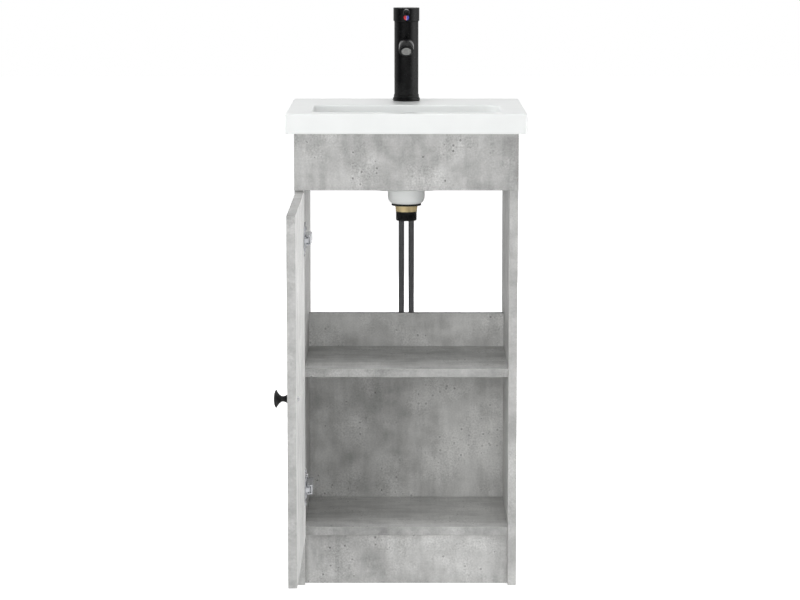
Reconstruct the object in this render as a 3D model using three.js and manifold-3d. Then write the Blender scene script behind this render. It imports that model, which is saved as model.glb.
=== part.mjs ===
// A narrow vanity unit: laminated board cabinet with one hinged door, a ceramic countertop basin
// with its waste, and a single-lever mixer tap on two flexible hoses.
// Millimetres, +Z up, the open front of the cabinet faces -Y.
// The door hangs open at a right angle, as it does in use.

import * as THREE from "three";
import { mergeVertices } from "three/addons/utils/BufferGeometryUtils.js";
import Module from "manifold-3d";

const wasm = await Module();
wasm.setup();

// Clearances and mesh counts

const fitGap = 0.3; // running and assembly clearance between two pieces
const cutOverrun = 5; // how far a cutting solid runs past the face it opens
const fineSides = 32;
const roundSides = 20;
const smallSides = 12;
const hexSides = 6;
const cornerSteps = 4;

// Cabinet

const boardThickness = 15;
const cabinetWidth = 390;
const sideHeight = 805;
const sideDepth = 370;
const fasciaHeight = 99;
const shelfSetback = 7;
const plinthHeight = 89;
const plinthSetback = 16;
const middleShelfHeight = 373.5;
const backPanelHeight = 450;
const serviceDepth = 88; // clear depth behind the low back panel
const railHeight = 90;

// Shelf dowels

const dowelDiameter = 8;
const dowelLength = 30;
const dowelDepthInSide = 9;
const dowelPlaceShares = [0.18, 0.82]; // along the depth of a shelf

// Door and its swing

const doorReveal = 2; // from the door's edge to the outside of the cabinet
const doorTopGap = 3;
const doorBottomGap = 1;
const doorFrontGap = 2;
const pivotInset = 5.7; // swing axis, from the hinge edge and from the outer face
const openAngle = Math.PI / 2;

// Knob and its screw

const knobLength = 23.6;
const knobDiameter = 30;
const knobNeckDiameter = 9;
const knobFootDiameter = 14.5;
const knobFromFreeEdge = 48;
const knobFootShares = [[1, 0], [0.8, 0.07]]; // of the radius there and of the knob's length
const knobNeckShares = [[1.1, 0.17], [1, 0.27], [1.1, 0.38]];
const knobFaceShares = [
  [0.5, 0.55], [0.72, 0.67], [0.9, 0.75], [1, 0.81], [0.99, 0.85], [0.86, 0.92], [0.5, 0.98], [0, 1],
];
const knobScrewDiameter = 4;
const knobScrewHeadDiameter = 8;
const knobScrewHeadHeight = 2.4;
const knobScrewReach = 10; // thread in the knob

// Concealed hinges

const hingeFromDoorEnd = 85;
const cupDiameter = 35;
const cupFromDoorEdge = 4;
const cupDepth = 11.5;
const cupWall = 1;
const cupFloor = 0.7;
const cupFlangeThickness = 1;
const cupFlangeDiameter = 38;
const cupFlangeLength = 52;
const cupFlangeWidth = 20;
const cupNotchDepth = 7; // the opening in the rim where the links pass
const cupNotchReach = 5;
const plateFromFront = 37;
const plateLength = 38;
const plateWidth = 22;
const plateThickness = 3;
const plateWingSpan = 54;
const plateWingWidth = 13;
const plateRailHeight = 7;
const plateRailWidth = 11;
const plateScrewSpacing = 32;
const plateScrewDiameter = 4;
const plateScrewHeadDiameter = 7.6;
const plateScrewHeadHeight = 2;
const plateScrewDepth = 11;
const armHeight = 14; // how far the arm stands off the side panel
const armWidth = 16;
const armWall = 1.7;
const armSheet = 1.6;
const armFrontReach = 11.9; // in front of the side panel
const armRear = 58;
const armUnderside = 5.3;
const armStep = 16; // where the underside drops over the mounting plate
const armNose = 3;
const pinDiameter = 2;
const linkEyeDiameter = 4;
const linkThickness = 3;
const outerLinkCheek = 1.5;
const innerLinkWidth = 7.6;
const linkSideGap = 0.4;

// Cup pins where the links would meet the cup, from the swing axis with the door closed,
// how far the arm pins lie from that axis, and how far each link stops short of its cup pin.

const outerCupPin = new THREE.Vector2(3.2, 7.6);
const innerCupPin = new THREE.Vector2(5, 6);
const outerPinReach = 17.5;
const innerPinReach = 16.5;
const linkStop = 4.2;

// Basin

const basinWidth = 420;
const basinRimHeight = 35;
const basinFrontOverhang = 12; // past the fascia
const basinRearOverhang = 3; // past the rear rail
const basinCornerRadius = 7;
const basinEdgeRadius = 2.5;
const edgeRoundShare = 0.3; // how far the middle of a rounded edge is drawn in
const deckThickness = 12;
const ceramicWall = 9;
const undersideMargin = 3; // from the support faces to the hollow under the deck
const bowlWidth = 330;
const bowlDepth = 186;
const bowlFromFront = 42;
const bowlHeight = 134; // deck to the rim of the outlet
const bowlCornerRadius = 28;
const bowlLipRadius = 4;
const bowlSlopeShares = [0.2, 0.62, 0.88]; // down the bowl, of its height
const bowlWidthShares = [0.97, 0.86, 0.74]; // of its width there
const bowlDepthShares = [0.96, 0.84, 0.7]; // of its depth there
const bossDiameter = 66;
const bossEndDiameter = 52.5;
const bossHeight = 24; // under the bowl
const bossRoundShares = [[0.4, 0.3], [0.8, 0.65]]; // out and up its rounded lower edge
const outletBore = 45;
const tapFromRear = 64;
const tapHoleDiameter = 35;

// Waste

const flangeDiameter = 62;
const flangeThickness = 2.6;
const flangeDishShare = 0.35; // how far its inner edge is dished, of its thickness
const flangeRecess = 2;
const wasteThreadDiameter = 33;
const wasteBore = 28;
const wasteNutDiameter = 40;
const wasteNutHeight = 11;
const gasketDiameter = 53;
const gasketThickness = 3.5;
const tailDiameter = 37.5;
const tailHeight = 16;
const tailLip = 3; // how far the tail runs past the end of the waste body
const guideWall = 4; // round the plug's stem
const guideHeight = 9;
const guideDrop = 14; // from the flange to the guide
const guideBarWidth = 4;
const plugDiameter = 54;
const plugThickness = 4;
const plugCrown = 2.5;
const plugCrownShares = [[0.8, 0.5], [0.4, 0.9]]; // of its radius and of the crown's height
const plugStemDiameter = 8;
const plugStemLength = 36;

// Mixer tap, heights from the deck

const sealThickness = 1.5;
const tapBodyDiameter = 44.5;
const tapBodyTop = 146;
const baseRingDiameter = 50.5;
const baseRingStepDiameter = 48.6;
const baseRingTopDiameter = 46.6;
const baseRingHeight = 12;
const baseRingStepHeight = 5.5;
const cartridgePocketDiameter = 36.6;
const cartridgePocketDepth = 38;
const waterwayDiameter = 20;
const waterwayFloor = 15;
const hoseSocketDiameter = 8;
const spoutDiameter = 27;
const spoutHeight = 103;
const spoutReach = 112;
const spoutBendRadius = 25;
const spoutBendAngle = (40 * Math.PI) / 180;
const spoutBore = 15;
const spoutBendSteps = 6;
const aeratorDiameter = 21.4;
const aeratorBore = 16.8;
const aeratorLength = 9;
const aeratorProud = 1;
const aeratorInsertLength = 6;
const cartridgeDiameter = 35;
const cartridgeHeight = 26;
const carrierDiameter = 26.4;
const carrierHeight = 5.7;
const carrierPocketDepth = 9;
const carrierSlotLength = 22;
const carrierSlotDepth = 4;
const cartridgeNutHeight = 7.7;
const cartridgeNutBore = 28.4;
const stemDiameter = 8;
const stemTop = 164;
const capDiameter = 48;
const capHeight = 24.7;
const capWall = 1.1;
const capTopThickness = 4;
const capEdge = 0.8;
const capSocketDiameter = 16;
const capSocketBottom = 150;
const capRibWidth = 15;
const capRibBottom = 149.3;
const leverDiameter = 11;
const leverLength = 55;
const leverHeight = 164.2;
const leverEnd = 1;
const leverThreadDiameter = 6;
const leverThreadLength = 10;
const indicatorDiameter = 9.5;
const indicatorHeight = 153.4;
const indicatorThickness = 1.4;

// Tap fixing and hoses

const studDiameter = 8;
const studOffset = 11;
const studLength = 66;
const studDepth = 11;
const horseshoeDiameter = 48;
const horseshoeThickness = 2;
const horseshoeSlotWidth = 30.6;
const horseshoeSlotBack = 5.6;
const studNutWidth = 13;
const studNutHeight = 10;
const hoseDiameter = 10.3;
const hoseSpacing = 18.2;
const hoseSides = 10;
const hoseSteps = 20;
const ferruleDiameter = 12.6;
const ferruleLength = 17;
const hoseNutWidth = 19;
const hoseNutLength = 14;
const hoseNutBore = 8;
const hoseNutMouthDiameter = 15;
const hoseNutMouthDepth = 9;
const ferruleCollarPlay = 1.2; // of the ferrule's collar in the nut's mouth

// Route of the hot hose: distance from the middle and distance below the deck.
// It hangs straight behind the waste and spreads a little behind the back panel.

const hoseRoute = [
  [9.1, -1.2], [9.1, 24], [9.1, 49], [9.1, 74], [9.1, 99], [9.1, 124], [9.1, 149], [9.1, 174],
  [9.1, 199], [9.1, 224], [9.1, 249], [9.1, 274], [9.1, 299], [9.1, 324], [9.1, 349], [9.1, 374],
  [9.3, 399], [10.2, 424], [11.6, 449], [12.7, 474], [13, 499],
];

// Places worked out from the sizes

const half = cabinetWidth / 2;
const innerHalf = half - boardThickness;
const deckTop = sideHeight + basinRimHeight;
const backFace = sideDepth - serviceDepth;
const basinFront = -boardThickness - basinFrontOverhang;
const basinRear = sideDepth + basinRearOverhang;
const basinMiddle = (basinFront + basinRear) / 2;
const bowlMiddle = basinFront + bowlFromFront + bowlDepth / 2;
const tapPlace = basinRear - tapFromRear;
const doorWidth = cabinetWidth - 2 * doorReveal;
const doorBottom = plinthHeight + doorBottomGap;
const doorTop = sideHeight - fasciaHeight - doorTopGap;
const pivotX = -half + doorReveal + pivotInset;
const pivotY = -doorFrontGap - boardThickness + pivotInset;
const hingeHeights = { lower: doorBottom + hingeFromDoorEnd, upper: doorTop - hingeFromDoorEnd };
const bossBottom = deckTop - bowlHeight - flangeRecess - ceramicWall - bossHeight;

// Solids

function solid(geometry) {
  const bare = geometry.clone();
  bare.deleteAttribute("normal");
  bare.deleteAttribute("uv");
  const welded = mergeVertices(bare);
  const corners = Array.from(welded.index.array);
  const build = (list) => new wasm.Manifold(new wasm.Mesh({
    numProp: 3,
    vertProperties: new Float32Array(welded.attributes.position.array),
    triVerts: new Uint32Array(list),
  }));
  const body = build(corners);
  return body.volume() < 0 ? build(corners.reverse()) : body;
}

function geometryOf(body) {
  const { vertProperties, triVerts } = body.getMesh();
  const geometry = new THREE.BufferGeometry();
  geometry.setAttribute("position", new THREE.BufferAttribute(vertProperties, 3));
  geometry.setIndex(new THREE.BufferAttribute(triVerts, 1));
  geometry.computeVertexNormals();
  return geometry;
}

function block([x0, x1], [y0, y1], [z0, z1]) {
  const geometry = new THREE.BoxGeometry(x1 - x0, y1 - y0, z1 - z0);
  geometry.translate((x0 + x1) / 2, (y0 + y1) / 2, (z0 + z1) / 2);
  return solid(geometry);
}

// A profile of [radius, height] points turned about Z
function turned(profile, sides = fineSides) {
  const points = profile.map(([radius, height]) => new THREE.Vector2(radius, height));
  return solid(new THREE.LatheGeometry(points, sides).rotateX(Math.PI / 2));
}

function rod(diameter, [from, to], [x, y] = [0, 0], sides = smallSides) {
  const geometry = new THREE.CylinderGeometry(diameter / 2, diameter / 2, to - from, sides);
  geometry.rotateX(Math.PI / 2);
  return solid(geometry.translate(x, y, (from + to) / 2));
}

// The same along X and along Y
function rodX(diameter, [from, to], [y, z], sides = smallSides) {
  const geometry = new THREE.CylinderGeometry(diameter / 2, diameter / 2, to - from, sides);
  return solid(geometry.rotateZ(Math.PI / 2).translate((from + to) / 2, y, z));
}

function rodY(diameter, [from, to], [x, z], sides = smallSides) {
  const geometry = new THREE.CylinderGeometry(diameter / 2, diameter / 2, to - from, sides);
  return solid(geometry.translate(x, (from + to) / 2, z));
}

function tube(outer, inner, [from, to], sides = fineSides) {
  const bore = rod(inner, [from - cutOverrun, to + cutOverrun], [0, 0], sides);
  return rod(outer, [from, to], [0, 0], sides).subtract(bore);
}

// An outline of [x, y] points extruded along Z
function prism(outline, [from, to]) {
  const shape = new THREE.Shape(outline.map(([x, y]) => new THREE.Vector2(x, y)));
  const geometry = new THREE.ExtrudeGeometry(shape, { depth: to - from, bevelEnabled: false });
  return solid(geometry.translate(0, 0, from));
}

// A rounded rectangle as a ring of points at one height
function ring(halfX, halfY, radius, z, middleY = 0) {
  const points = [];
  for (let corner = 0; corner < 4; corner += 1) {
    const sideX = corner === 0 || corner === 3 ? 1 : -1;
    const sideY = corner < 2 ? 1 : -1;
    for (let step = 0; step <= cornerSteps; step += 1) {
      const angle = (corner + step / cornerSteps) * (Math.PI / 2);
      points.push([
        sideX * (halfX - radius) + radius * Math.cos(angle),
        middleY + sideY * (halfY - radius) + radius * Math.sin(angle),
        z,
      ]);
    }
  }
  return points;
}

// A skin through rings that have the same number of points, closed by a flat end at each side
function loft(rings) {
  const count = rings[0].length;
  const corners = [];
  rings.slice(1).forEach((_, row) => {
    for (let i = 0; i < count; i += 1) {
      const next = (i + 1) % count;
      const [a, b] = [row * count + i, row * count + next];
      corners.push(a, b, b + count, a, b + count, a + count);
    }
  });
  const last = (rings.length - 1) * count;
  for (let i = 1; i < count - 1; i += 1) {
    corners.push(0, i + 1, i, last, last + i, last + i + 1);
  }
  const geometry = new THREE.BufferGeometry();
  geometry.setAttribute("position", new THREE.Float32BufferAttribute(rings.flat(2), 3));
  geometry.setIndex(corners);
  return solid(geometry);
}

function union(...bodies) {
  return bodies.reduce((whole, body) => whole.add(body));
}

function cut(body, ...tools) {
  return tools.reduce((rest, tool) => rest.subtract(tool), body);
}

// Meshes

function finish(color, roughness, metalness = 0) {
  return () => new THREE.MeshStandardMaterial({ color, roughness, metalness });
}

const concreteBoard = finish(0x9c9c9a, 0.7);
const whiteCeramic = finish(0xf4f5f6, 0.12);
const matteBlack = finish(0x161617, 0.38, 0.3);
const blackRubber = finish(0x1a1a1a, 0.8);
const blackPlastic = finish(0x141414, 0.55);
const brass = finish(0xc9a25a, 0.28, 1);
const nickel = finish(0xb9bcbf, 0.28, 1);
const chrome = finish(0xd6d8da, 0.1, 1);
const beech = finish(0xc79f6b, 0.75);
const whitePlastic = finish(0xe6e6e2, 0.5);
const greyPlastic = finish(0x6d6e70, 0.5);
const redAndBlue = finish(0x9a2a5a, 0.35);

function place(parent, name, body, material, position = [0, 0, 0]) {
  const mesh = new THREE.Mesh(geometryOf(body), material());
  mesh.name = name;
  mesh.position.set(...position);
  parent.add(mesh);
  return mesh;
}

function nest(parent, position = [0, 0, 0]) {
  const group = new THREE.Group();
  group.position.set(...position);
  parent.add(group);
  return group;
}

// Cabinet boards

const shelfDepthRange = [shelfSetback, backFace - boardThickness];
const shelfHeights = { bottom: plinthHeight, middle: middleShelfHeight };

function dowelPlaces() {
  const [front, rear] = shelfDepthRange;
  return Object.entries(shelfHeights).flatMap(([shelf, height]) =>
    ["left", "right"].flatMap((side) => dowelPlaceShares.map((share, i) => ({
      name: `${shelf}_shelf_dowel_${side}_${i === 0 ? "front" : "rear"}`,
      shelf,
      side,
      sign: side === "left" ? -1 : 1,
      y: front + share * (rear - front),
      z: height + boardThickness / 2,
    }))));
}

function dowelBore({ sign, y, z }) {
  const reachOut = innerHalf + dowelDepthInSide + fitGap;
  const reachIn = innerHalf - (dowelLength - dowelDepthInSide) - fitGap;
  const span = sign < 0 ? [-reachOut, -reachIn] : [reachIn, reachOut];
  return rodX(dowelDiameter + 2 * fitGap, span, [y, z]);
}

function dowel({ sign, y, z }) {
  const reachOut = innerHalf + dowelDepthInSide;
  const span = sign < 0 ? [-reachOut, dowelLength - reachOut] : [reachOut - dowelLength, reachOut];
  return rodX(dowelDiameter, span, [y, z]);
}

function plateScrewHoles() {
  return Object.values(hingeHeights).flatMap((height) => [-1, 1].map((side) => rodX(
    plateScrewDiameter + 2 * fitGap,
    [-innerHalf - plateScrewDepth - fitGap, -innerHalf + cutOverrun],
    [plateFromFront, height + (side * plateScrewSpacing) / 2],
  )));
}

function sidePanel(side) {
  const span = side === "left" ? [-half, -innerHalf] : [innerHalf, half];
  const holes = dowelPlaces().filter((spot) => spot.side === side).map(dowelBore);
  if (side === "left") holes.push(...plateScrewHoles());
  return cut(block(span, [0, sideDepth], [0, sideHeight]), ...holes);
}

function shelf(name) {
  const height = shelfHeights[name];
  const plank = block([-innerHalf, innerHalf], shelfDepthRange, [height, height + boardThickness]);
  return cut(plank, ...dowelPlaces().filter((spot) => spot.shelf === name).map(dowelBore));
}

function addCabinet(parent) {
  const between = [-innerHalf, innerHalf];
  const plinthDepth = [plinthSetback, plinthSetback + boardThickness];
  const railDepth = [sideDepth - boardThickness, sideDepth];
  place(parent, "side_panel_left", sidePanel("left"), concreteBoard);
  place(parent, "side_panel_right", sidePanel("right"), concreteBoard);
  place(parent, "bottom_shelf", shelf("bottom"), concreteBoard);
  place(parent, "middle_shelf", shelf("middle"), concreteBoard);
  place(parent, "fascia_panel",
    block([-half, half], [-boardThickness, 0], [sideHeight - fasciaHeight, sideHeight]), concreteBoard);
  place(parent, "plinth_panel", block(between, plinthDepth, [0, plinthHeight]), concreteBoard);
  place(parent, "back_panel",
    block(between, [backFace - boardThickness, backFace], [0, backPanelHeight]), concreteBoard);
  place(parent, "rear_rail", block(between, railDepth, [sideHeight - railHeight, sideHeight]), concreteBoard);
  dowelPlaces().forEach((spot) => place(parent, spot.name, dowel(spot), beech));
}

// Door, built closed about its swing axis and then turned open.
// Along x from the axis to the free edge, along y from the outer face to the inner face.

const doorEdge = -pivotInset;
const doorInner = boardThickness - pivotInset;
const knobX = doorEdge + doorWidth - knobFromFreeEdge;
const knobZ = (doorBottom + doorTop) / 2;
const cupX = doorEdge + cupFromDoorEdge + cupDiameter / 2;
const outerLinkHalf = innerLinkWidth / 2 + linkSideGap + outerLinkCheek;

function doorPanel() {
  const boreDiameter = cupDiameter + 2 * fitGap;
  const boreSpan = [doorInner - cupDepth - fitGap, doorInner + cutOverrun];
  const bores = Object.values(hingeHeights).map((z) => rodY(boreDiameter, boreSpan, [cupX, z], fineSides));
  const screwHole = rodY(knobScrewDiameter + 2 * fitGap,
    [doorEdge - cutOverrun, doorInner + cutOverrun], [knobX, knobZ]);
  const panel = block([doorEdge, doorEdge + doorWidth], [doorEdge, doorInner], [doorBottom, doorTop]);
  return cut(panel, screwHole, ...bores);
}

// Mushroom knob: flared foot, slim neck, wide crowned face
function knobSolid() {
  const [foot, neck, rim] = [knobFootDiameter / 2, knobNeckDiameter / 2, knobDiameter / 2];
  const trace = (radius, shares) => shares.map(([out, along]) => [out * radius, along * knobLength]);
  const profile = [
    [0, 0], ...trace(foot, knobFootShares), ...trace(neck, knobNeckShares), ...trace(rim, knobFaceShares),
  ];
  const body = turned(profile, roundSides);
  const thread = rod(knobScrewDiameter + 2 * fitGap, [-cutOverrun, knobScrewReach + fitGap]);
  return cut(body, thread).rotate([90, 0, 0]);
}

function knobScrew() {
  const shank = rodY(knobScrewDiameter,
    [doorEdge - fitGap - knobScrewReach, doorInner + knobScrewHeadHeight], [knobX, knobZ]);
  const head = rodY(knobScrewHeadDiameter,
    [doorInner + fitGap, doorInner + fitGap + knobScrewHeadHeight], [knobX, knobZ]);
  return union(shank, head);
}

// The cup sits in its bore and its flange on the inner face
function hingeCup() {
  const face = [fitGap, fitGap + cupFlangeThickness];
  const top = face[1];
  const outside = rodY(cupDiameter, [-cupDepth, top], [0, 0], fineSides);
  const collar = rodY(cupFlangeDiameter, face, [0, 0], fineSides);
  const straight = (cupFlangeLength - cupFlangeWidth) / 2;
  const ears = [-straight, straight].map((z) => rodY(cupFlangeWidth, face, [0, z], fineSides));
  const bar = block([-cupFlangeWidth / 2, cupFlangeWidth / 2], face, [-straight, straight]);
  const hollow = rodY(cupDiameter - 2 * cupWall, [cupFloor - cupDepth, top + cutOverrun], [0, 0], fineSides);
  const notch = block([-cupFlangeDiameter, cupNotchReach - cupDiameter / 2],
    [-cupNotchDepth, top + cutOverrun], [-outerLinkHalf - linkSideGap, outerLinkHalf + linkSideGap]);
  return cut(union(outside, collar, bar, ...ears), hollow, notch);
}

function addDoor(parent) {
  const door = nest(parent, [pivotX, pivotY, 0]);
  door.rotation.z = -openAngle;
  place(door, "door_panel", doorPanel(), concreteBoard);
  place(door, "door_knob", knobSolid(), matteBlack, [knobX, doorEdge - fitGap, knobZ]);
  place(door, "knob_screw", knobScrew(), nickel);
  Object.entries(hingeHeights).forEach(([level, z]) => {
    place(door, `${level}_hinge_cup`, hingeCup(), nickel, [cupX, doorInner, z]);
  });
}

// Hinges on the left side panel: x off the panel, y behind its front edge, z from the hinge's middle

const axisFromPanel = new THREE.Vector2(pivotX + innerHalf, pivotY);

// Where the arm's pin has to be for the link's end to meet its cup pin both open and closed
function linkPlan(cupPin, reach) {
  const openPin = cupPin.clone().rotateAround(new THREE.Vector2(), -openAngle);
  const armPin = cupPin.clone().add(openPin).setLength(reach);
  const toOpen = openPin.clone().sub(armPin);
  return {
    armPin: armPin.add(axisFromPanel),
    length: toOpen.length(),
    restAngle: toOpen.angle(),
  };
}

const linkPlans = {
  outer: linkPlan(outerCupPin, outerPinReach),
  inner: linkPlan(innerCupPin, innerPinReach),
};

function mountingPlate() {
  const along = [plateFromFront - plateLength / 2, plateFromFront + plateLength / 2];
  const base = block([0, plateThickness], along, [-plateWidth / 2, plateWidth / 2]);
  const straight = (plateWingSpan - plateWingWidth) / 2;
  const wing = block([0, plateThickness],
    [plateFromFront - plateWingWidth / 2, plateFromFront + plateWingWidth / 2], [-straight, straight]);
  const ends = [-straight, straight].map((z) =>
    rodX(plateWingWidth, [0, plateThickness], [plateFromFront, z], roundSides));
  const rail = block([0, plateThickness + plateRailHeight], along, [-plateRailWidth / 2, plateRailWidth / 2]);
  const holes = [-1, 1].map((side) => rodX(plateScrewDiameter + 2 * fitGap,
    [-cutOverrun, plateThickness + cutOverrun], [plateFromFront, (side * plateScrewSpacing) / 2]));
  return cut(union(base, wing, rail, ...ends), ...holes);
}

// A pressed channel: it straddles the plate's rail and carries the two link pins at its nose
function hingeArm() {
  const low = plateThickness + fitGap;
  const outline = [
    [armUnderside, -armFrontReach], [armHeight - armNose, -armFrontReach],
    [armHeight, armNose - armFrontReach], [armHeight, armRear], [low, armRear],
    [low, armStep], [armUnderside, armStep - armNose],
  ];
  const inside = armWidth / 2 - armWall;
  const channel = block([-cutOverrun, armHeight - armSheet],
    [-armFrontReach - cutOverrun, armRear + cutOverrun], [-inside, inside]);
  const pins = Object.values(linkPlans).map(({ armPin }) =>
    rod(pinDiameter, [-inside - armWall / 2, inside + armWall / 2], armPin.toArray()));
  return union(cut(prism(outline, [-armWidth / 2, armWidth / 2]), channel), ...pins);
}

function linkBar(length, [low, high]) {
  const flat = block([0, length], [-linkThickness / 2, linkThickness / 2], [low, high]);
  const tip = rod(linkThickness, [low, high], [length, 0]);
  return union(flat, tip, rod(linkEyeDiameter, [low, high]));
}

function innerLink() {
  const span = [-innerLinkWidth / 2, innerLinkWidth / 2];
  const pinHole = rod(pinDiameter + 2 * fitGap, [-armWidth, armWidth]);
  return cut(linkBar(linkPlans.inner.length - linkStop, span), pinHole);
}

// Two cheeks outside the inner link, joined by the barrel round their pin
function outerLink() {
  const inside = innerLinkWidth / 2 + linkSideGap;
  const outside = outerLinkHalf;
  const length = linkPlans.outer.length - linkStop;
  const pinHole = rod(pinDiameter + 2 * fitGap, [-armWidth, armWidth]);
  const barrel = rod(linkEyeDiameter, [-outside, outside]);
  const cheeks = [[-outside, -inside], [inside, outside]].map((span) => linkBar(length, span));
  return cut(union(barrel, ...cheeks), pinHole);
}

function plateScrew() {
  const top = plateThickness + fitGap;
  const shank = rodX(plateScrewDiameter, [-plateScrewDepth, top + plateScrewHeadHeight], [0, 0]);
  const head = rodX(plateScrewHeadDiameter, [top, top + plateScrewHeadHeight], [0, 0]);
  return union(shank, head);
}

function addHinge(parent, level) {
  const hinge = nest(parent, [-innerHalf, 0, hingeHeights[level]]);
  place(hinge, `${level}_hinge_plate`, mountingPlate(), nickel);
  place(hinge, `${level}_hinge_arm`, hingeArm(), nickel);
  [["top", 1], ["bottom", -1]].forEach(([end, side]) => place(hinge, `${level}_plate_screw_${end}`,
    plateScrew(), nickel, [0, plateFromFront, (side * plateScrewSpacing) / 2]));
  [["outer", outerLink], ["inner", innerLink]].forEach(([kind, make]) => {
    const { armPin, restAngle } = linkPlans[kind];
    const link = place(hinge, `${level}_hinge_${kind}_link`, make(), nickel, [armPin.x, armPin.y, 0]);
    link.rotation.z = restAngle;
  });
}

// Basin

// The bowl's inside, from above the deck down to the flat round the outlet; grown outwards by a wall
function bowlRings(wall) {
  const top = [bowlWidth / 2 + wall, bowlDepth / 2 + wall];
  const radius = bowlCornerRadius + wall;
  const lift = wall === 0 ? cutOverrun : -basinEdgeRadius;
  const lip = wall === 0 ? bowlLipRadius : 0;
  const rings = [ring(top[0] + lip, top[1] + lip, radius + lip, deckTop + lift, bowlMiddle)];
  if (lip > 0) {
    rings.push(ring(top[0] + lip, top[1] + lip, radius + lip, deckTop, bowlMiddle));
    const shoulder = edgeRoundShare * lip;
    rings.push(ring(top[0] + shoulder, top[1] + shoulder, radius + shoulder, deckTop - shoulder, bowlMiddle));
    rings.push(ring(top[0], top[1], radius, deckTop - lip, bowlMiddle));
  }
  bowlSlopeShares.forEach((share, i) => rings.push(ring(
    bowlWidthShares[i] * (bowlWidth / 2) + wall,
    bowlDepthShares[i] * (bowlDepth / 2) + wall,
    radius,
    deckTop - share * bowlHeight,
    bowlMiddle,
  )));
  const outlet = flangeDiameter / 2 + fitGap + wall;
  rings.push(ring(outlet, outlet, outlet, deckTop - bowlHeight - wall, bowlMiddle));
  return rings;
}

function outletBoss() {
  const [wide, narrow] = [bossDiameter / 2, bossEndDiameter / 2];
  const top = deckTop - bowlHeight - ceramicWall / 2;
  const round = wide - narrow;
  const bend = bossBottom + round;
  return turned([
    [0, bossBottom], [narrow, bossBottom],
    ...bossRoundShares.map(([out, up]) => [narrow + out * round, bossBottom + up * round]),
    [wide, bend], [wide, top], [0, top],
  ]).translate([0, bowlMiddle, 0]);
}

function basinBody() {
  const [halfX, halfY] = [basinWidth / 2, (basinRear - basinFront) / 2];
  const [radius, edge] = [basinCornerRadius, basinEdgeRadius];
  const shoulder = edgeRoundShare * edge;
  const slab = loft([
    ring(halfX, halfY, radius, sideHeight, basinMiddle),
    ring(halfX, halfY, radius, deckTop - edge, basinMiddle),
    ring(halfX - shoulder, halfY - shoulder, radius, deckTop - shoulder, basinMiddle),
    ring(halfX - edge, halfY - edge, radius - shoulder, deckTop, basinMiddle),
  ]);
  const hollow = block([undersideMargin - innerHalf, innerHalf - undersideMargin],
    [undersideMargin, sideDepth - boardThickness - undersideMargin],
    [sideHeight - cutOverrun, deckTop - deckThickness]);
  const recessFloor = deckTop - bowlHeight - flangeRecess;
  const recess = rod(flangeDiameter + 2 * fitGap, [recessFloor, deckTop - bowlHeight + cutOverrun],
    [0, bowlMiddle], fineSides);
  const bore = rod(outletBore, [bossBottom - cutOverrun, deckTop], [0, bowlMiddle], fineSides);
  const tapHole = rod(tapHoleDiameter, [sideHeight, deckTop + cutOverrun], [0, tapPlace], fineSides);
  const shell = union(cut(slab, hollow), loft(bowlRings(ceramicWall)), outletBoss());
  return cut(shell, loft(bowlRings(0)), recess, bore, tapHole);
}

// Waste, measured down from its seat in the basin

const wasteSeat = deckTop - bowlHeight - flangeRecess;
const nutTop = bossBottom - gasketThickness;
const tailBottom = nutTop - wasteNutHeight - tailHeight;

function wasteBody() {
  const [flange, thread, bore] = [flangeDiameter / 2, wasteThreadDiameter / 2, wasteBore / 2];
  const top = wasteSeat + fitGap + flangeThickness;
  const bottom = tailBottom + tailLip;
  const shell = turned([
    [bore, bottom], [thread, bottom], [thread, wasteSeat - flangeThickness],
    [thread + flangeThickness, wasteSeat + fitGap], [flange, wasteSeat + fitGap],
    [flange, top], [bore + flangeThickness, top - flangeDishShare * flangeThickness],
    [bore, wasteSeat - flangeThickness],
    [bore, bottom],
  ]);
  const guideTop = wasteSeat - guideDrop;
  const guide = cut(
    union(
      block([-bore - (thread - bore) / 2, bore + (thread - bore) / 2],
        [-guideBarWidth / 2, guideBarWidth / 2], [guideTop - guideHeight, guideTop]),
      rod(plugStemDiameter + 2 * guideWall, [guideTop - guideHeight, guideTop]),
    ),
    rod(plugStemDiameter + 2 * fitGap, [guideTop - guideHeight - cutOverrun, guideTop + cutOverrun]),
  );
  const stemWay = rod(plugStemDiameter + 2 * fitGap, [bottom - cutOverrun, top + cutOverrun]);
  return cut(union(shell, guide), stemWay);
}

function wastePlug() {
  const seat = wasteSeat + 2 * fitGap + flangeThickness;
  const [wide, stem] = [plugDiameter / 2, plugStemDiameter / 2];
  const crown = seat + plugThickness;
  return turned([
    [0, seat - plugStemLength], [stem, seat - plugStemLength], [stem, seat], [wide, seat],
    [wide, crown], ...plugCrownShares.map(([out, up]) => [out * wide, crown + up * plugCrown]),
    [0, crown + plugCrown],
  ]);
}

function addWaste(parent) {
  const waste = nest(parent, [0, bowlMiddle, 0]);
  const threadBore = wasteThreadDiameter + 2 * fitGap;
  place(waste, "waste_body", wasteBody(), chrome);
  place(waste, "waste_gasket", tube(gasketDiameter, threadBore, [nutTop, bossBottom]), blackRubber);
  place(waste, "waste_nut", tube(wasteNutDiameter, threadBore, [nutTop - wasteNutHeight, nutTop]), brass);
  place(waste, "waste_tail",
    tube(tailDiameter, threadBore, [tailBottom, nutTop - wasteNutHeight]), blackPlastic);
  place(waste, "waste_plug", wastePlug(), chrome);
}

// Mixer tap, standing on the deck

const capBottom = tapBodyTop + fitGap;
const capTop = capBottom + capHeight;
const cartridgeSeat = tapBodyTop - cartridgePocketDepth;
const cartridgeTop = cartridgeSeat + cartridgeHeight;

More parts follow.
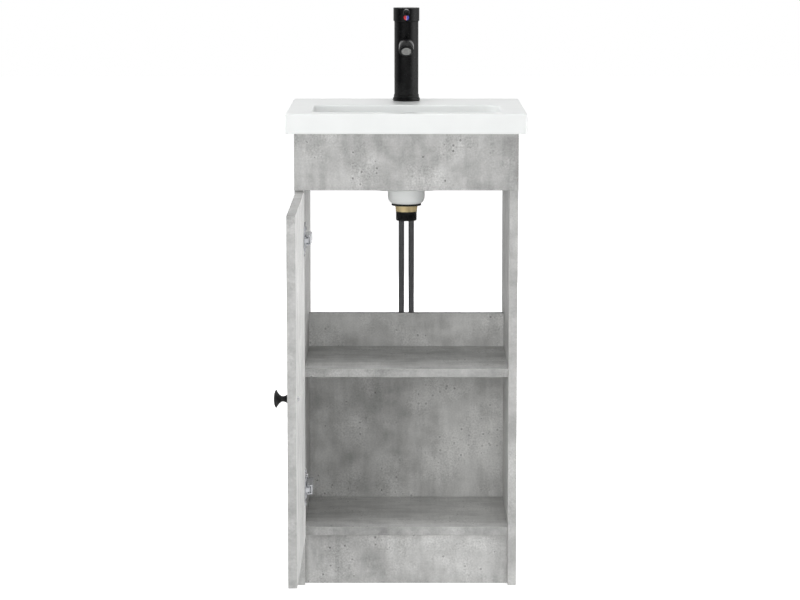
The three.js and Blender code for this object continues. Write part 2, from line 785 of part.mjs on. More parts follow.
// The spout leaves the body level and then bends down towards the bowl
function spoutPath(extra = 0) {
  const bendStart = spoutReach - spoutBendRadius * Math.sin(spoutBendAngle);
  const points = [new THREE.Vector3(0, 0, spoutHeight), new THREE.Vector3(0, -bendStart / 2, spoutHeight)];
  for (let step = 0; step <= spoutBendSteps; step += 1) {
    const angle = (step / spoutBendSteps) * spoutBendAngle;
    points.push(new THREE.Vector3(
      0,
      -bendStart - spoutBendRadius * Math.sin(angle),
      spoutHeight - spoutBendRadius * (1 - Math.cos(angle)),
    ));
  }
  if (extra > 0) {
    const ahead = new THREE.Vector3(0, -Math.cos(spoutBendAngle), -Math.sin(spoutBendAngle));
    points.push(points[points.length - 1].clone().addScaledVector(ahead, extra));
  }
  return new THREE.CatmullRomCurve3(points, false, "centripetal");
}

function pipe(path, diameter, steps, sides) {
  const section = new THREE.Shape();
  section.absarc(0, 0, diameter / 2, 0, 2 * Math.PI);
  const outline = new THREE.Shape(section.getSpacedPoints(sides).slice(0, sides));
  return solid(new THREE.ExtrudeGeometry(outline, { extrudePath: path, steps, curveSegments: sides }));
}

function tapBody() {
  const barrel = rod(tapBodyDiameter, [sealThickness, tapBodyTop], [0, 0], fineSides);
  const spout = pipe(spoutPath(), spoutDiameter, 2 * spoutBendSteps, roundSides);
  const pocket = rod(cartridgePocketDiameter, [cartridgeSeat, tapBodyTop + cutOverrun], [0, 0], fineSides);
  const waterway = rod(waterwayDiameter, [waterwayFloor, cartridgeSeat + cutOverrun], [0, 0], roundSides);
  const sockets = [-1, 1].map((side) => rod(hoseSocketDiameter,
    [sealThickness - cutOverrun, waterwayFloor + cutOverrun], [(side * hoseSpacing) / 2, 0]));
  const studHole = rod(studDiameter + 2 * fitGap,
    [sealThickness - cutOverrun, sealThickness + studDepth + fitGap], [0, studOffset]);
  const spoutWay = pipe(spoutPath(cutOverrun), spoutBore, 2 * spoutBendSteps, smallSides);
  const aeratorSeat = aimAtOutlet(rod(aeratorDiameter + 2 * fitGap,
    [-cutOverrun, aeratorLength - aeratorProud + fitGap], [0, 0], roundSides));
  return cut(union(barrel, spout), pocket, waterway, spoutWay, aeratorSeat, studHole, ...sockets);
}

// Turns a solid built up along +Z so that it runs back into the spout from its mouth
function aimAtOutlet(body) {
  const drop = spoutBendRadius * (1 - Math.cos(spoutBendAngle));
  const tilt = 90 - THREE.MathUtils.radToDeg(spoutBendAngle);
  return body.rotate([-tilt, 0, 0]).translate([0, -spoutReach, spoutHeight - drop]);
}

function baseRing() {
  const inner = tapBodyDiameter / 2 + fitGap;
  const step = sealThickness + baseRingStepHeight;
  return turned([
    [inner, sealThickness], [baseRingDiameter / 2, sealThickness], [baseRingStepDiameter / 2, step],
    [baseRingTopDiameter / 2, step + fitGap], [baseRingTopDiameter / 2, baseRingHeight],
    [inner, baseRingHeight], [inner, sealThickness],
  ]);
}

function cartridgeBody() {
  const pocket = rod(carrierDiameter + 2 * fitGap,
    [cartridgeTop - carrierPocketDepth, cartridgeTop + cutOverrun], [0, 0], roundSides);
  return cut(rod(cartridgeDiameter, [cartridgeSeat, cartridgeTop], [0, 0], roundSides), pocket);
}

// The disc that turns with the handle; the stem rocks in its slot
function cartridgeCarrier() {
  const bottom = cartridgeTop - carrierPocketDepth + fitGap;
  const top = bottom + carrierHeight;
  const halfSlot = stemDiameter / 2 + fitGap;
  const slot = block([-halfSlot, halfSlot], [-carrierSlotLength / 2, carrierSlotLength / 2],
    [top - carrierSlotDepth, top + cutOverrun]);
  return cut(rod(carrierDiameter, [bottom, top], [0, 0], roundSides), slot);
}

function cartridgeStem() {
  const slotFloor = cartridgeTop - carrierPocketDepth + fitGap + carrierHeight - carrierSlotDepth;
  return rod(stemDiameter, [slotFloor + 2 * fitGap, stemTop]);
}

// A hollow cap with a socket for the stem and a rib behind the lever and the indicator
function handleCap() {
  const [outer, inner] = [capDiameter / 2, capDiameter / 2 - capWall];
  const ceiling = capTop - capTopThickness;
  const shell = turned([
    [0, ceiling], [inner, ceiling], [inner, capBottom], [outer - capEdge, capBottom],
    [outer, capBottom + 2 * capEdge], [outer, capTop - capEdge], [outer - capEdge, capTop], [0, capTop],
  ]);
  const socket = rod(capSocketDiameter, [capSocketBottom, ceiling + capEdge], [0, 0], roundSides);
  const rib = block([-capRibWidth / 2, capRibWidth / 2],
    [-Math.sqrt(inner ** 2 - (capRibWidth / 2) ** 2) - capWall / 2, 0], [capRibBottom, ceiling + capEdge]);
  const stemBore = rod(stemDiameter + 2 * fitGap, [capSocketBottom - cutOverrun, stemTop + fitGap]);
  const leverBore = rodY(leverThreadDiameter + 2 * fitGap,
    [-outer - cutOverrun, -outer + leverThreadLength + fitGap], [0, leverHeight]);
  const spotFace = rodY(leverDiameter + 2 * fitGap,
    [-outer - cutOverrun, -outer + capWall], [0, leverHeight]);
  const indicatorSeat = rodY(indicatorDiameter + 2 * fitGap,
    [-outer - cutOverrun, -outer + indicatorThickness + fitGap], [0, indicatorHeight], roundSides);
  return cut(union(shell, socket, rib), stemBore, leverBore, spotFace, indicatorSeat);
}

function leverPin() {
  const root = -capDiameter / 2 + capWall - fitGap;
  const tip = root - leverLength;
  const thread = rodY(leverThreadDiameter, [root, root + leverThreadLength - capWall], [0, leverHeight]);
  const grip = rodY(leverDiameter, [tip + leverEnd, root], [0, leverHeight], roundSides);
  const end = rodY(leverDiameter - 2 * leverEnd, [tip, tip + leverEnd], [0, leverHeight], roundSides);
  return union(thread, grip, end);
}

function addTap(parent) {
  const tap = nest(parent, [0, tapPlace, deckTop]);
  place(tap, "tap_base_seal",
    tube(baseRingStepDiameter, tapHoleDiameter, [0, sealThickness]), blackRubber);
  place(tap, "tap_base_ring", baseRing(), matteBlack);
  place(tap, "tap_body", tapBody(), matteBlack);
  place(tap, "aerator_housing", aimAtOutlet(tube(aeratorDiameter, aeratorBore,
    [-aeratorProud, aeratorLength - aeratorProud], roundSides)), greyPlastic);
  place(tap, "aerator_insert", aimAtOutlet(rod(aeratorBore - 2 * fitGap,
    [0, aeratorInsertLength], [0, 0], roundSides)), greyPlastic);
  place(tap, "cartridge_body", cartridgeBody(), whitePlastic);
  place(tap, "cartridge_nut", tube(cartridgePocketDiameter - 2 * fitGap, cartridgeNutBore,
    [cartridgeTop, cartridgeTop + cartridgeNutHeight], roundSides), brass);
  place(tap, "cartridge_carrier", cartridgeCarrier(), whitePlastic);
  place(tap, "cartridge_stem", cartridgeStem(), brass);
  place(tap, "handle_cap", handleCap(), matteBlack);
  place(tap, "lever_pin", leverPin(), matteBlack);
  place(tap, "indicator", rodY(indicatorDiameter,
    [-capDiameter / 2, indicatorThickness - capDiameter / 2], [0, indicatorHeight], roundSides), redAndBlue);
}

// Tap fixing under the deck

function horseshoeWasher() {
  const under = -deckThickness;
  const disc = rod(horseshoeDiameter, [under - horseshoeThickness, under], [0, 0], fineSides);
  const slot = block([-horseshoeSlotWidth / 2, horseshoeSlotWidth / 2],
    [-horseshoeDiameter, horseshoeSlotBack], [under - horseshoeThickness - cutOverrun, under + cutOverrun]);
  const hole = rod(studDiameter + 2 * fitGap,
    [under - horseshoeThickness - cutOverrun, under + cutOverrun], [0, studOffset]);
  return cut(disc, slot, hole);
}

function hexNut(width, bore, [from, to], middle = [0, 0]) {
  const corners = (width / Math.sqrt(3)) * 2;
  const hex = rod(corners, [from, to], middle, hexSides);
  return cut(hex, rod(bore, [from - cutOverrun, to + cutOverrun], middle));
}

function addTapFixing(parent) {
  const fixing = nest(parent, [0, tapPlace, deckTop]);
  const studTop = sealThickness + studDepth;
  const nutSeat = -deckThickness - horseshoeThickness;
  place(fixing, "tap_stud", rod(studDiameter, [studTop - studLength, studTop], [0, studOffset]), nickel);
  place(fixing, "horseshoe_washer", horseshoeWasher(), nickel);
  place(fixing, "stud_nut", hexNut(studNutWidth, studDiameter + 2 * fitGap,
    [nutSeat - studNutHeight, nutSeat], [0, studOffset]), brass);
}

// Supply hoses: each hangs from the tap and ends in a crimped ferrule with a swivel nut

function hose(side) {
  const points = hoseRoute.map(([away, below]) => new THREE.Vector3(side * away, 0, -below));
  return pipe(new THREE.CatmullRomCurve3(points), hoseDiameter, hoseSteps, hoseSides);
}

// The ferrule's nose passes through the nut and ends in the collar that the nut pulls on
function ferrule() {
  const nutEnd = -ferruleLength - hoseNutLength;
  const collarTop = nutEnd + hoseNutMouthDepth - fitGap;
  const collarBottom = nutEnd + hoseNutMouthDepth / 2;
  return union(
    rod(ferruleDiameter, [-ferruleLength, 0], [0, 0], roundSides),
    rod(hoseNutBore - 2 * fitGap, [collarBottom, -ferruleLength]),
    rod(hoseNutMouthDiameter - ferruleCollarPlay, [collarBottom, collarTop], [0, 0], roundSides),
  );
}

function swivelNut() {
  const top = -ferruleLength - fitGap;
  const bottom = top - hoseNutLength;
  const mouth = rod(hoseNutMouthDiameter,
    [bottom - cutOverrun, bottom + hoseNutMouthDepth], [0, 0], roundSides);
  return cut(hexNut(hoseNutWidth, hoseNutBore, [bottom, top]), mouth);
}

function addHoses(parent) {
  const hoses = nest(parent, [0, tapPlace, deckTop]);
  const [endAway, endBelow] = hoseRoute[hoseRoute.length - 1];
  [["hot", -1], ["cold", 1]].forEach(([name, side]) => {
    const end = [side * endAway, 0, -endBelow - fitGap];
    place(hoses, `${name}_hose`, hose(side), blackRubber);
    place(hoses, `${name}_hose_ferrule`, ferrule(), nickel, end);
    place(hoses, `${name}_hose_nut`, swivelNut(), chrome, end);
  });
}

// The whole unit, with its origin on the floor under the middle of the plinth

const vanity = new THREE.Group();
const unit = nest(vanity, [0, -plinthSetback - boardThickness / 2, 0]);
addCabinet(unit);
addDoor(unit);
addHinge(unit, "lower");
addHinge(unit, "upper");
place(unit, "basin", basinBody(), whiteCeramic);
addWaste(unit);
addTap(unit);
addTapFixing(unit);
addHoses(unit);

export default vanity;
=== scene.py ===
import math

import bpy
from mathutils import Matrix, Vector


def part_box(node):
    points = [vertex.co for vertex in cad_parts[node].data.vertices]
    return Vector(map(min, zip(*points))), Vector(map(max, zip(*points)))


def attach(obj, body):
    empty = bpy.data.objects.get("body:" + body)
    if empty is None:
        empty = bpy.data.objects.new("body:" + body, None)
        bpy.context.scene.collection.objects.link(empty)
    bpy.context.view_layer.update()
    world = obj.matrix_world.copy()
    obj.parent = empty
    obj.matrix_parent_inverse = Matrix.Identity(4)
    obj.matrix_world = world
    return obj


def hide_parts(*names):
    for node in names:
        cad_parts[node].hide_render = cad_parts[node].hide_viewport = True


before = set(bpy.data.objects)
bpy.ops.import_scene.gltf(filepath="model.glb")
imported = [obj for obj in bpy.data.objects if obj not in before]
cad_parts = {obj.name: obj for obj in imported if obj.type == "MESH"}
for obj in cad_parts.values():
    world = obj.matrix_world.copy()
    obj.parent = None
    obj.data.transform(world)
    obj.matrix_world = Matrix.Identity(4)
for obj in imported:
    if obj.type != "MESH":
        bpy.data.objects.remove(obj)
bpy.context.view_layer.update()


# The photographer's stand. The camera looks a little down on the unit from straight ahead, its
# lens long enough that the unit's sides stay nearly upright.

camera_place = (0, -4.8865, 1.193)
camera_down = math.radians(7.974)
camera_left = math.radians(0.13)
camera_lens = 126.1

bpy.ops.object.camera_add(location=camera_place, rotation=(math.pi / 2 - camera_down, 0, camera_left))
camera = bpy.context.object
camera.data.lens = camera_lens
bpy.context.scene.camera = camera
bpy.context.scene.view_settings.view_transform = "Standard"


# The studio: a pale floor, a surround and large soft lamps. The camera sees the surround white,
# and glossy surfaces see pale panels at the sides, above, far behind and on the floor. As a light
# it is dim, so that colours come out as painted.

class Shade:
    """The output of a node. Sums, differences and products of shades add Math nodes."""

    def __init__(self, tree, socket=None):
        self.tree = tree
        self.socket = socket

    def node(self, kind, settings, sockets, output=0):
        """Adds a node, sets what it is, and gives its sockets numbers, colours or other shades."""
        made = self.tree.nodes.new("ShaderNode" + kind)
        for name, value in settings.items():
            setattr(made, name, value)
        for name, value in sockets.items():
            join(self.tree, made.inputs[name], value)
        return Shade(self.tree, made.outputs[output])

    def math(self, operation, first, second=0.0):
        return self.node("Math", {"operation": operation}, {0: first, 1: second})

    def __add__(self, other):
        return self.math("ADD", self, other)

    def __sub__(self, other):
        return self.math("SUBTRACT", self, other)

    def __rsub__(self, other):
        return self.math("SUBTRACT", other, self)

    def __mul__(self, other):
        return self.math("MULTIPLY", self, other)

    __radd__ = __add__
    __rmul__ = __mul__

    def most(self, other):
        """The larger of two shades."""
        return self.math("MAXIMUM", self, other)

    def rise(self, low, high):
        """0 below low, 1 above high, and a soft step between them. Low may be the larger one."""
        return self.node("MapRange", {"interpolation_type": "SMOOTHSTEP"},
                         {"Value": self, "From Min": low, "From Max": high})

    def colours(self, dark, light):
        """The colour between two, dark where this shade is 0 and light where it is 1."""
        return self.node("Mix", {"data_type": "RGBA"}, {0: self, 6: dark, 7: light}, 2)

    def spot(self):
        """Where a point lies on its piece, in metres."""
        return self.node("TexCoord", {}, {}, "Object")

    def part(self, axis):
        """One coordinate of this place."""
        return self.node("SeparateXYZ", {}, {0: self}, axis)

    def looked_at(self):
        """1 for what the camera sees itself or through something clear, and else 0."""
        straight = self.node("LightPath", {}, {}, "Is Camera Ray")
        return straight.most(self.node("LightPath", {}, {}, "Is Transmission Ray"))


def join(tree, socket, value):
    if isinstance(value, Shade):
        tree.links.new(value.socket, socket)
    elif isinstance(value, tuple) and socket.type == "RGBA":
        socket.default_value = (*value, 1)
    else:
        socket.default_value = value


def feed(surface, **sockets):
    """Gives a surface's sockets numbers, colours or shades. Their names have _ in place of spaces."""
    for socket, value in sockets.items():
        join(surface.id_data, surface.inputs[socket.replace("_", " ")], value)


def new_finish(name, **sockets):
    """A material, its first shade, and its surface with the sockets that are the same all over."""
    material = bpy.data.materials.new(name)
    material.use_nodes = True
    surface = material.node_tree.nodes["Principled BSDF"]
    feed(surface, **sockets)
    return material, Shade(material.node_tree), surface


white = (1, 1, 1)
surround_light = (0.1, 0.1, 0.102)
unlit_room = (0.015, 0.015, 0.015)

world = bpy.data.worlds.new("studio_surround")
bpy.context.scene.world = world
world.use_nodes = True
surround = Shade(world.node_tree)
toward = surround.node("TexCoord", {}, {}, "Generated")
onward = toward.part("Y")
upward = toward.part("Z")
round_to_right = surround.math("ARCTAN2", toward.part("X"), 0 - onward)
right_panel = round_to_right.rise(0.5, 1.3) * (1 - round_to_right.rise(1.4, 2.3) * 0.65)
left_panel = (0 - round_to_right).rise(1.1, 2.0) * 0.4
overhead = (upward.rise(0.6, 1.0) * 0.7).most(onward.rise(0.8, 0.97))
ahead = 1 - surround.math("ABSOLUTE", round_to_right + 0.2).rise(0.3, 0.9)
pale_floor = (0 - upward).rise(0.06, 0.13) * ahead * 0.8
mirrored = right_panel.most(left_panel).most(overhead.most(pale_floor))
as_light = surround.node("LightPath", {}, {}, "Is Glossy Ray").colours(
    surround_light, (mirrored * 0.95).colours(unlit_room, white))
join(world.node_tree, world.node_tree.nodes["Background"].inputs["Color"],
     surround.looked_at().colours(as_light, white))

floor_size = 30
floor_drop = 0.0003
floor_grey = (0.76, 0.76, 0.76)
floor_pale = (0.8, 0.8, 0.8)
glow_near = (0.62, 0.62, 0.62)
glow_reach = (0.25, 1.0)

bpy.ops.mesh.primitive_plane_add(size=floor_size, location=(0, 0, -floor_drop))
floor = bpy.context.object
floor.name = "studio_floor"
floor.visible_glossy = False
floor_finish, paint, surface = new_finish("studio_floor", Roughness=0.9, Specular_IOR_Level=0.1)
speckle = paint.node("TexNoise", {}, {"Vector": paint.spot(), "Scale": 40.0, "Detail": 3.0})
feed(surface, Base_Color=speckle.colours(floor_grey, floor_pale))
away = paint.node("VectorMath", {"operation": "LENGTH"}, {0: paint.spot()}, "Value")
glow = paint.node("Emission", {}, {"Color": away.rise(*glow_reach).colours(glow_near, white)})
tree = floor_finish.node_tree
bare_floor = Shade(tree, surface.outputs[0])
lit_floor = paint.node("AddShader", {}, {0: bare_floor, 1: glow})
join(tree, tree.nodes["Material Output"].inputs["Surface"],
     paint.node("MixShader", {}, {0: paint.looked_at(), 1: bare_floor, 2: lit_floor}))
floor.data.materials.append(floor_finish)


def add_lamp(name, place, aim, size, power):
    bpy.ops.object.light_add(type="AREA", location=place)
    lamp = bpy.context.object
    lamp.name = name
    lamp.data.shape = "SQUARE"
    lamp.data.size = size
    lamp.data.energy = power
    lamp.rotation_euler = (Vector(aim) - Vector(place)).to_track_quat("-Z", "Y").to_euler()
    lamp.visible_glossy = False


# Each lamp's place, what it is aimed at, its size and its power
add_lamp("lamp_front", (0.2, -4.2, 0.8), (0, 0, 0.45), 2.4, 53)
add_lamp("lamp_front_left", (-1.7, -3.5, 0.9), (0, 0, 0.45), 1.1, 39)
add_lamp("lamp_high", (0, -3.2, 3.2), (0, 0, 0.5), 2.2, 27)
add_lamp("lamp_top", (0, -0.2, 3.0), (0, 0.1, 0.8), 1.6, 31)
add_lamp("lamp_side", (3.3, -0.2, 0.38), (-0.15, -0.2, 0.38), 1.0, 67)
add_lamp("lamp_left", (-3.3, 0.3, 1.2), (-0.2, 0.1, 0.45), 0.9, 50)
add_lamp("lamp_back", (1.2, 3.6, 1.3), (0, 0.3, 0.5), 2.0, 75)


# Supply hoses: two flexible tails, a rubber tube in a black nylon braid, that hang from the tap
# and spread a little behind the back panel. Each is one swept tube of constant thickness.

def tone(red, green, blue):
    """A colour given as it shows on a screen, 0 to 255."""
    return tuple(((part / 255 + 0.055) / 1.055) ** 2.4 if part > 10 else part / 255 / 12.92
                 for part in (red, green, blue))


def relief(paint, height, depth, strength):
    """The normals of a surface that stands up where height is 1, by a depth in metres."""
    return paint.node("Bump", {}, {"Height": height, "Distance": depth, "Strength": strength})


def only(piece):
    """Selects one piece and makes it the active one."""
    bpy.ops.object.select_all(action="DESELECT")
    piece.select_set(True)
    bpy.context.view_layer.objects.active = piece


def own(piece, finish, body, slot, *replaced):
    """Gives a finished piece its material and its body, and hides the CAD nodes it stands for. A
    piece that has its materials already comes with None as its finish. Its slot is not used."""
    if finish is not None:
        piece.data.materials.clear()
        piece.data.materials.append(finish)
    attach(piece, body)
    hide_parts(*replaced)
    return piece


# The hoses hang from the tap's axis. The route is in mm out from it and down from the deck's top
deck_top = 0.84
tap_y = 0.2855
hose_diameter = 0.0103
hose_route = [(9.1, -1.2), *[(9.1, below) for below in range(24, 375, 25)],
              (9.3, 399), (10.2, 424), (11.6, 449), (12.7, 474), (13, 499)]
hose_strands = 24
hose_twists = 70

hose_finish, paint, surface = new_finish("black_braid", Specular_IOR_Level=0.25)
unrolled = paint.node("TexCoord", {}, {}, "UV")
along = unrolled.part("X") * hose_twists
round_it = unrolled.part("Y") * hose_strands
turn = 2 * math.pi
one_way = paint.math("SINE", (round_it + along) * turn)
other_way = paint.math("SINE", (round_it - along) * turn)
weave = one_way.most(other_way) * 0.5 + 0.5
feed(surface,
     Base_Color=weave.colours(tone(84, 84, 86), tone(100, 100, 102)),
     Roughness=weave * -0.08 + 0.46,
     Normal=relief(paint, weave, 0.00006, 0.25))

hoses = {}
for name, side in (("hot_hose", -1), ("cold_hose", 1)):
    points = [(side * out / 1000, tap_y, deck_top - below / 1000) for out, below in hose_route]
    line = bpy.data.curves.new(name, "CURVE")
    line.dimensions = "3D"
    line.bevel_depth = hose_diameter / 2
    line.bevel_resolution = 6
    line.use_fill_caps = True
    line.resolution_u = 3
    spline = line.splines.new("BEZIER")
    spline.bezier_points.add(len(points) - 1)
    for bend, point in zip(spline.bezier_points, points):
        bend.co = point
        bend.handle_left_type = bend.handle_right_type = "AUTO"
    hose = bpy.data.objects.new(name + "_braid", line)
    bpy.context.scene.collection.objects.link(hose)
    only(hose)
    bpy.ops.object.convert(target="MESH")
    hose = bpy.context.object
    bpy.ops.object.shade_smooth_by_angle(angle=math.radians(50))
    hoses[name] = (own(hose, hose_finish, "cabinet", "black_hose", name), points)


# Cabinet boards: 15 mm particle board with a concrete-look laminate on both faces. A matching band
# is glued round them, and the back panel's edges are printed much darker. The pattern is printed
# flat, so each face has its own cut of it.

def cloudy(paint, place, scale, detail, stir, flat=False):
    """Soft noise about 0.5; its scale is in bumps to the metre."""
    return paint.node("TexNoise", {"noise_dimensions": "2D" if flat else "3D"},
                      {"Vector": place, "Scale": scale, "Detail": detail, "Roughness": 0.6,
                       "Distortion": stir})


def pits(paint, place, scale, size, share, flat):
    """Small round pores and their rims: a share of the cells of a scale to the metre have one, up
    to a size."""
    cells = {"voronoi_dimensions": "2D" if flat else "3D"}
    sockets = {"Vector": place, "Scale": scale}
    away = paint.node("TexVoronoi", cells, sockets, "Distance")
    lot = paint.node("SeparateColor", {}, {0: paint.node("TexVoronoi", cells, sockets, "Color")}, 0)
    reach = (lot + share).rise(1.0, 1.35) * (size * scale)
    return (reach - away).rise(0, 0.5 * size * scale), (reach * 2 - away).rise(0, 0.8 * size * scale)


# How a flat print is turned to lie on a board that is thin along an axis
lies = {"x": (-math.pi / 2, -math.pi / 2, 0), "y": (-math.pi / 2, 0, 0), "z": (0, 0, 0), "": (0, 0, 0)}
upright_streaks = (1.0, 0.22, 1.0)
level_streaks = (0.22, 1.0, 1.0)
usual_clouds = 0.34


def concrete_print(name, across, start, level, streak=upright_streaks, cloudiness=usual_clouds):
    """The laminate of a board that is thin along one axis, cut from its own start in the print and
    as bright as its level. With no axis the pattern goes right through, as on an edge."""
    finish, paint, surface = new_finish(name, Specular_IOR_Level=0.42)
    flat = across != ""
    place = paint.node("Mapping", {}, {"Vector": paint.spot(), "Location": start, "Rotation": lies[across]})
    drawn = paint.node("Mapping", {}, {"Vector": place, "Scale": streak})
    crossed = paint.node("Mapping", {}, {"Vector": place,
                                         "Scale": (streak[1] * 1.6, streak[0] * 0.8, 1.0)})
    clouds = cloudy(paint, place, 6, 3.0, 0.0, flat) - 0.5
    blots = cloudy(paint, place, 19, 5.0, 0.12, flat)
    smears = cloudy(paint, drawn, 48, 3.0, 0.0, flat)
    scuffs = cloudy(paint, crossed, 85, 4.0, 0.0, flat)
    gritty = cloudy(paint, place, 12, 4.0, 0.3, flat).rise(0.46, 0.62)
    grit = cloudy(paint, place, 300, 2.0, 0.0, flat) - 0.5
    specks = cloudy(paint, place, 210, 1.0, 0.4, flat).rise(0.36, 0.24) * gritty
    pore, rim = pits(paint, place, 75, 0.0027, gritty * 0.36 + 0.12, flat)
    trowelled = (clouds * cloudiness + blots.rise(0.34, 0.66) * 0.1 + smears.rise(0.35, 0.65) * 0.068
                 + scuffs.rise(0.3, 0.7) * 0.035)
    sandy = grit * (gritty * 0.24 + 0.16) - specks * 0.1 + (rim - pore) * 0.035 - pore * 0.21
    feed(surface,
         Base_Color=(trowelled + sandy + level - 0.08).colours((0, 0, 0), (1, 1, 0.982)),
         Roughness=0.5 + clouds * 0.35 + pore * 0.2,
         Normal=relief(paint, grit * 0.25 - pore + smears * 0.3, 0.0003, 0.5))
    return finish


def block(middle, size, turned_by=(0, 0, 0)):
    """A plain block, to start a board from or to cut with."""
    bpy.ops.object.select_all(action="DESELECT")
    bpy.ops.mesh.primitive_cube_add(size=1, location=middle, scale=size, rotation=turned_by)
    return bpy.context.object


def apply_place():
    """Puts the selected piece's place, turn and size into its mesh."""
    bpy.ops.object.transform_apply(location=True, rotation=True, scale=True)


def open_all():
    """Opens the active piece in edit mode with all of it selected."""
    bpy.ops.object.mode_set(mode="EDIT")
    bpy.ops.mesh.select_all(action="SELECT")


def ease_all(width):
    """Rounds every edge of the active piece."""
    open_all()
    bpy.ops.mesh.bevel(offset=width, segments=3, affect="EDGES")
    bpy.ops.object.mode_set(mode="OBJECT")


def slab(name, node, soft=0.0006):
    """A board at a CAD board's place, with its edges eased."""
    low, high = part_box(node)
    piece = block((low + high) / 2, high - low)
    piece.name = name
    apply_place()
    ease_all(soft)
    return piece


def peg(diameter, start, end, sides=32):
    """A round cutter from one point to another."""
    start, end = Vector(start), Vector(end)
    bpy.ops.object.select_all(action="DESELECT")
    bpy.ops.mesh.primitive_cylinder_add(
        vertices=sides, radius=diameter / 2, depth=(end - start).length, location=(start + end) / 2,
        rotation=(end - start).to_track_quat("Z", "Y").to_euler())
    return bpy.context.object


def level_peg(diameter, node, start, end, sides):
    """A round cutter along X, from one place to another, through the middle of a CAD node."""
    low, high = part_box(node)
    middle = (low + high) / 2
    return peg(diameter, (start, middle.y, middle.z), (end, middle.y, middle.z), sides)


def modify(piece, kind, **settings):
    """Applies a modifier to a piece."""
    only(piece)
    step = piece.modifiers.new(kind, kind)
    for name, value in settings.items():
        setattr(step, name, value)
    bpy.ops.object.modifier_apply(modifier=step.name)


def carve(piece, *cutters, way="DIFFERENCE"):
    """Takes cutters out of a piece, or joins them to it with way UNION."""
    for cutter in cutters:
        modify(piece, "BOOLEAN", operation=way, solver="EXACT", object=cutter)
        bpy.data.objects.remove(cutter)
    return piece


def smooth(piece, angle=32, even=True):
    """Smooth shading up to an angle, with flat faces kept flat."""
    only(piece)
    bpy.ops.object.shade_smooth_by_angle(angle=math.radians(angle))
    if even:
        modify(piece, "WEIGHTED_NORMAL", keep_sharp=True)
    return piece


def two_faced(piece, across, low_finish, high_finish, band):
    """The laminate on a board's two large faces, towards - and + of an axis, and the band round it."""
    for finish in (low_finish, high_finish, band):
        piece.data.materials.append(finish)
    axis = "xyz".index(across)
    for face in piece.data.polygons:
        lean = face.normal[axis]
        face.material_index = 2 if abs(lean) < 0.7 else int(lean > 0)


band_finish = concrete_print("edge_band", "", (0.3, 0.9, 0.2), 0.47)
shelf_band = concrete_print("shelf_band", "", (1.3, 0.4, 2.2), 0.40)
# The back panel's edges are printed much darker than its faces
dark_back_edge = concrete_print("dark_back_edge", "", (2.1, 0.7, 1.4), 0.12)
bands = {"bottom_shelf": shelf_band, "middle_shelf": shelf_band, "back_panel": dark_back_edge}
cloudier = {"back_panel": 0.62, "plinth_panel": 0.5}

# Each board with its thin axis, its start in the print, and the levels of its two faces. The levels are the
# print's tone and, on the side panels, partly painted light: their inner faces are printed lighter than
# their outer faces.
boards = [
    ("side_panel_left", "x", (0.4, 0.1, 0), 0.47, 0.62),
    ("side_panel_right", "x", (2.3, 1.7, 0), 0.54, 0.45),
    ("bottom_shelf", "z", (5.2, 0.4, 0), 0.57, 0.57),
    ("middle_shelf", "z", (3.4, 2.9, 0), 0.465, 0.465),
    ("fascia_panel", "y", (-0.109, -0.433, 0), 0.44, 0.44),
    ("plinth_panel", "y", (-0.32, 4.15, 0), 0.465, 0.465),
    ("back_panel", "y", (-7.69, 2.33, 0), 0.55, 0.55),
    ("rear_rail", "y", (4.6, 9.4, 0), 0.45, 0.45),
]
gap = 0.0003
past_face = 0.01
screw_shank = 0.004
plate_screws = [f"{level}_plate_screw_{end}" for level in ("lower", "upper") for end in ("top", "bottom")]
cabinet_dowels = sorted(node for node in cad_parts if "_dowel_" in node)

for node, across, start, low_face_tone_and_light, high_face_tone_and_light in boards:
    board = slab(node + "_board", node)
    low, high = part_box(node)
    for dowel in cabinet_dowels:
        peg_low, peg_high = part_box(dowel)
        if all(peg_high[i] > low[i] and peg_low[i] < high[i] for i in range(3)):
            carve(board, level_peg(peg_high.z - peg_low.z + 2 * gap, dowel, peg_low.x - gap,
                                   peg_high.x + gap, 20))
    if node == "side_panel_left":
        for screw in plate_screws:
            carve(board, level_peg(screw_shank + 2 * gap, screw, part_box(screw)[0].x - gap,
                                   high.x + past_face, 20))
    streak = level_streaks if across == "z" else upright_streaks
    clouded = cloudier.get(node, usual_clouds)
    low_print = high_print = concrete_print(node + "_print", across, start, low_face_tone_and_light, streak, clouded)
    # On the side panels the two faces are copies of one laminate at two levels, the inner face lighter as
    # painted light
    if high_face_tone_and_light != low_face_tone_and_light:
        high_print = concrete_print(node + "_plus_side", across, start, high_face_tone_and_light, streak, clouded)
    two_faced(smooth(board), across, low_print, high_print, bands.get(node, band_finish))
    own(board, None, "cabinet", "concrete_board", node)


# Dowels: beech pegs between the shelves and the sides, fluted so that glue can escape, with
# their ends chamfered for driving in.

def close_all():
    """Turns every face of the open piece outwards and goes back to object mode."""
    bpy.ops.mesh.select_all(action="SELECT")
    bpy.ops.mesh.normals_make_consistent(inside=False)
    bpy.ops.object.mode_set(mode="OBJECT")


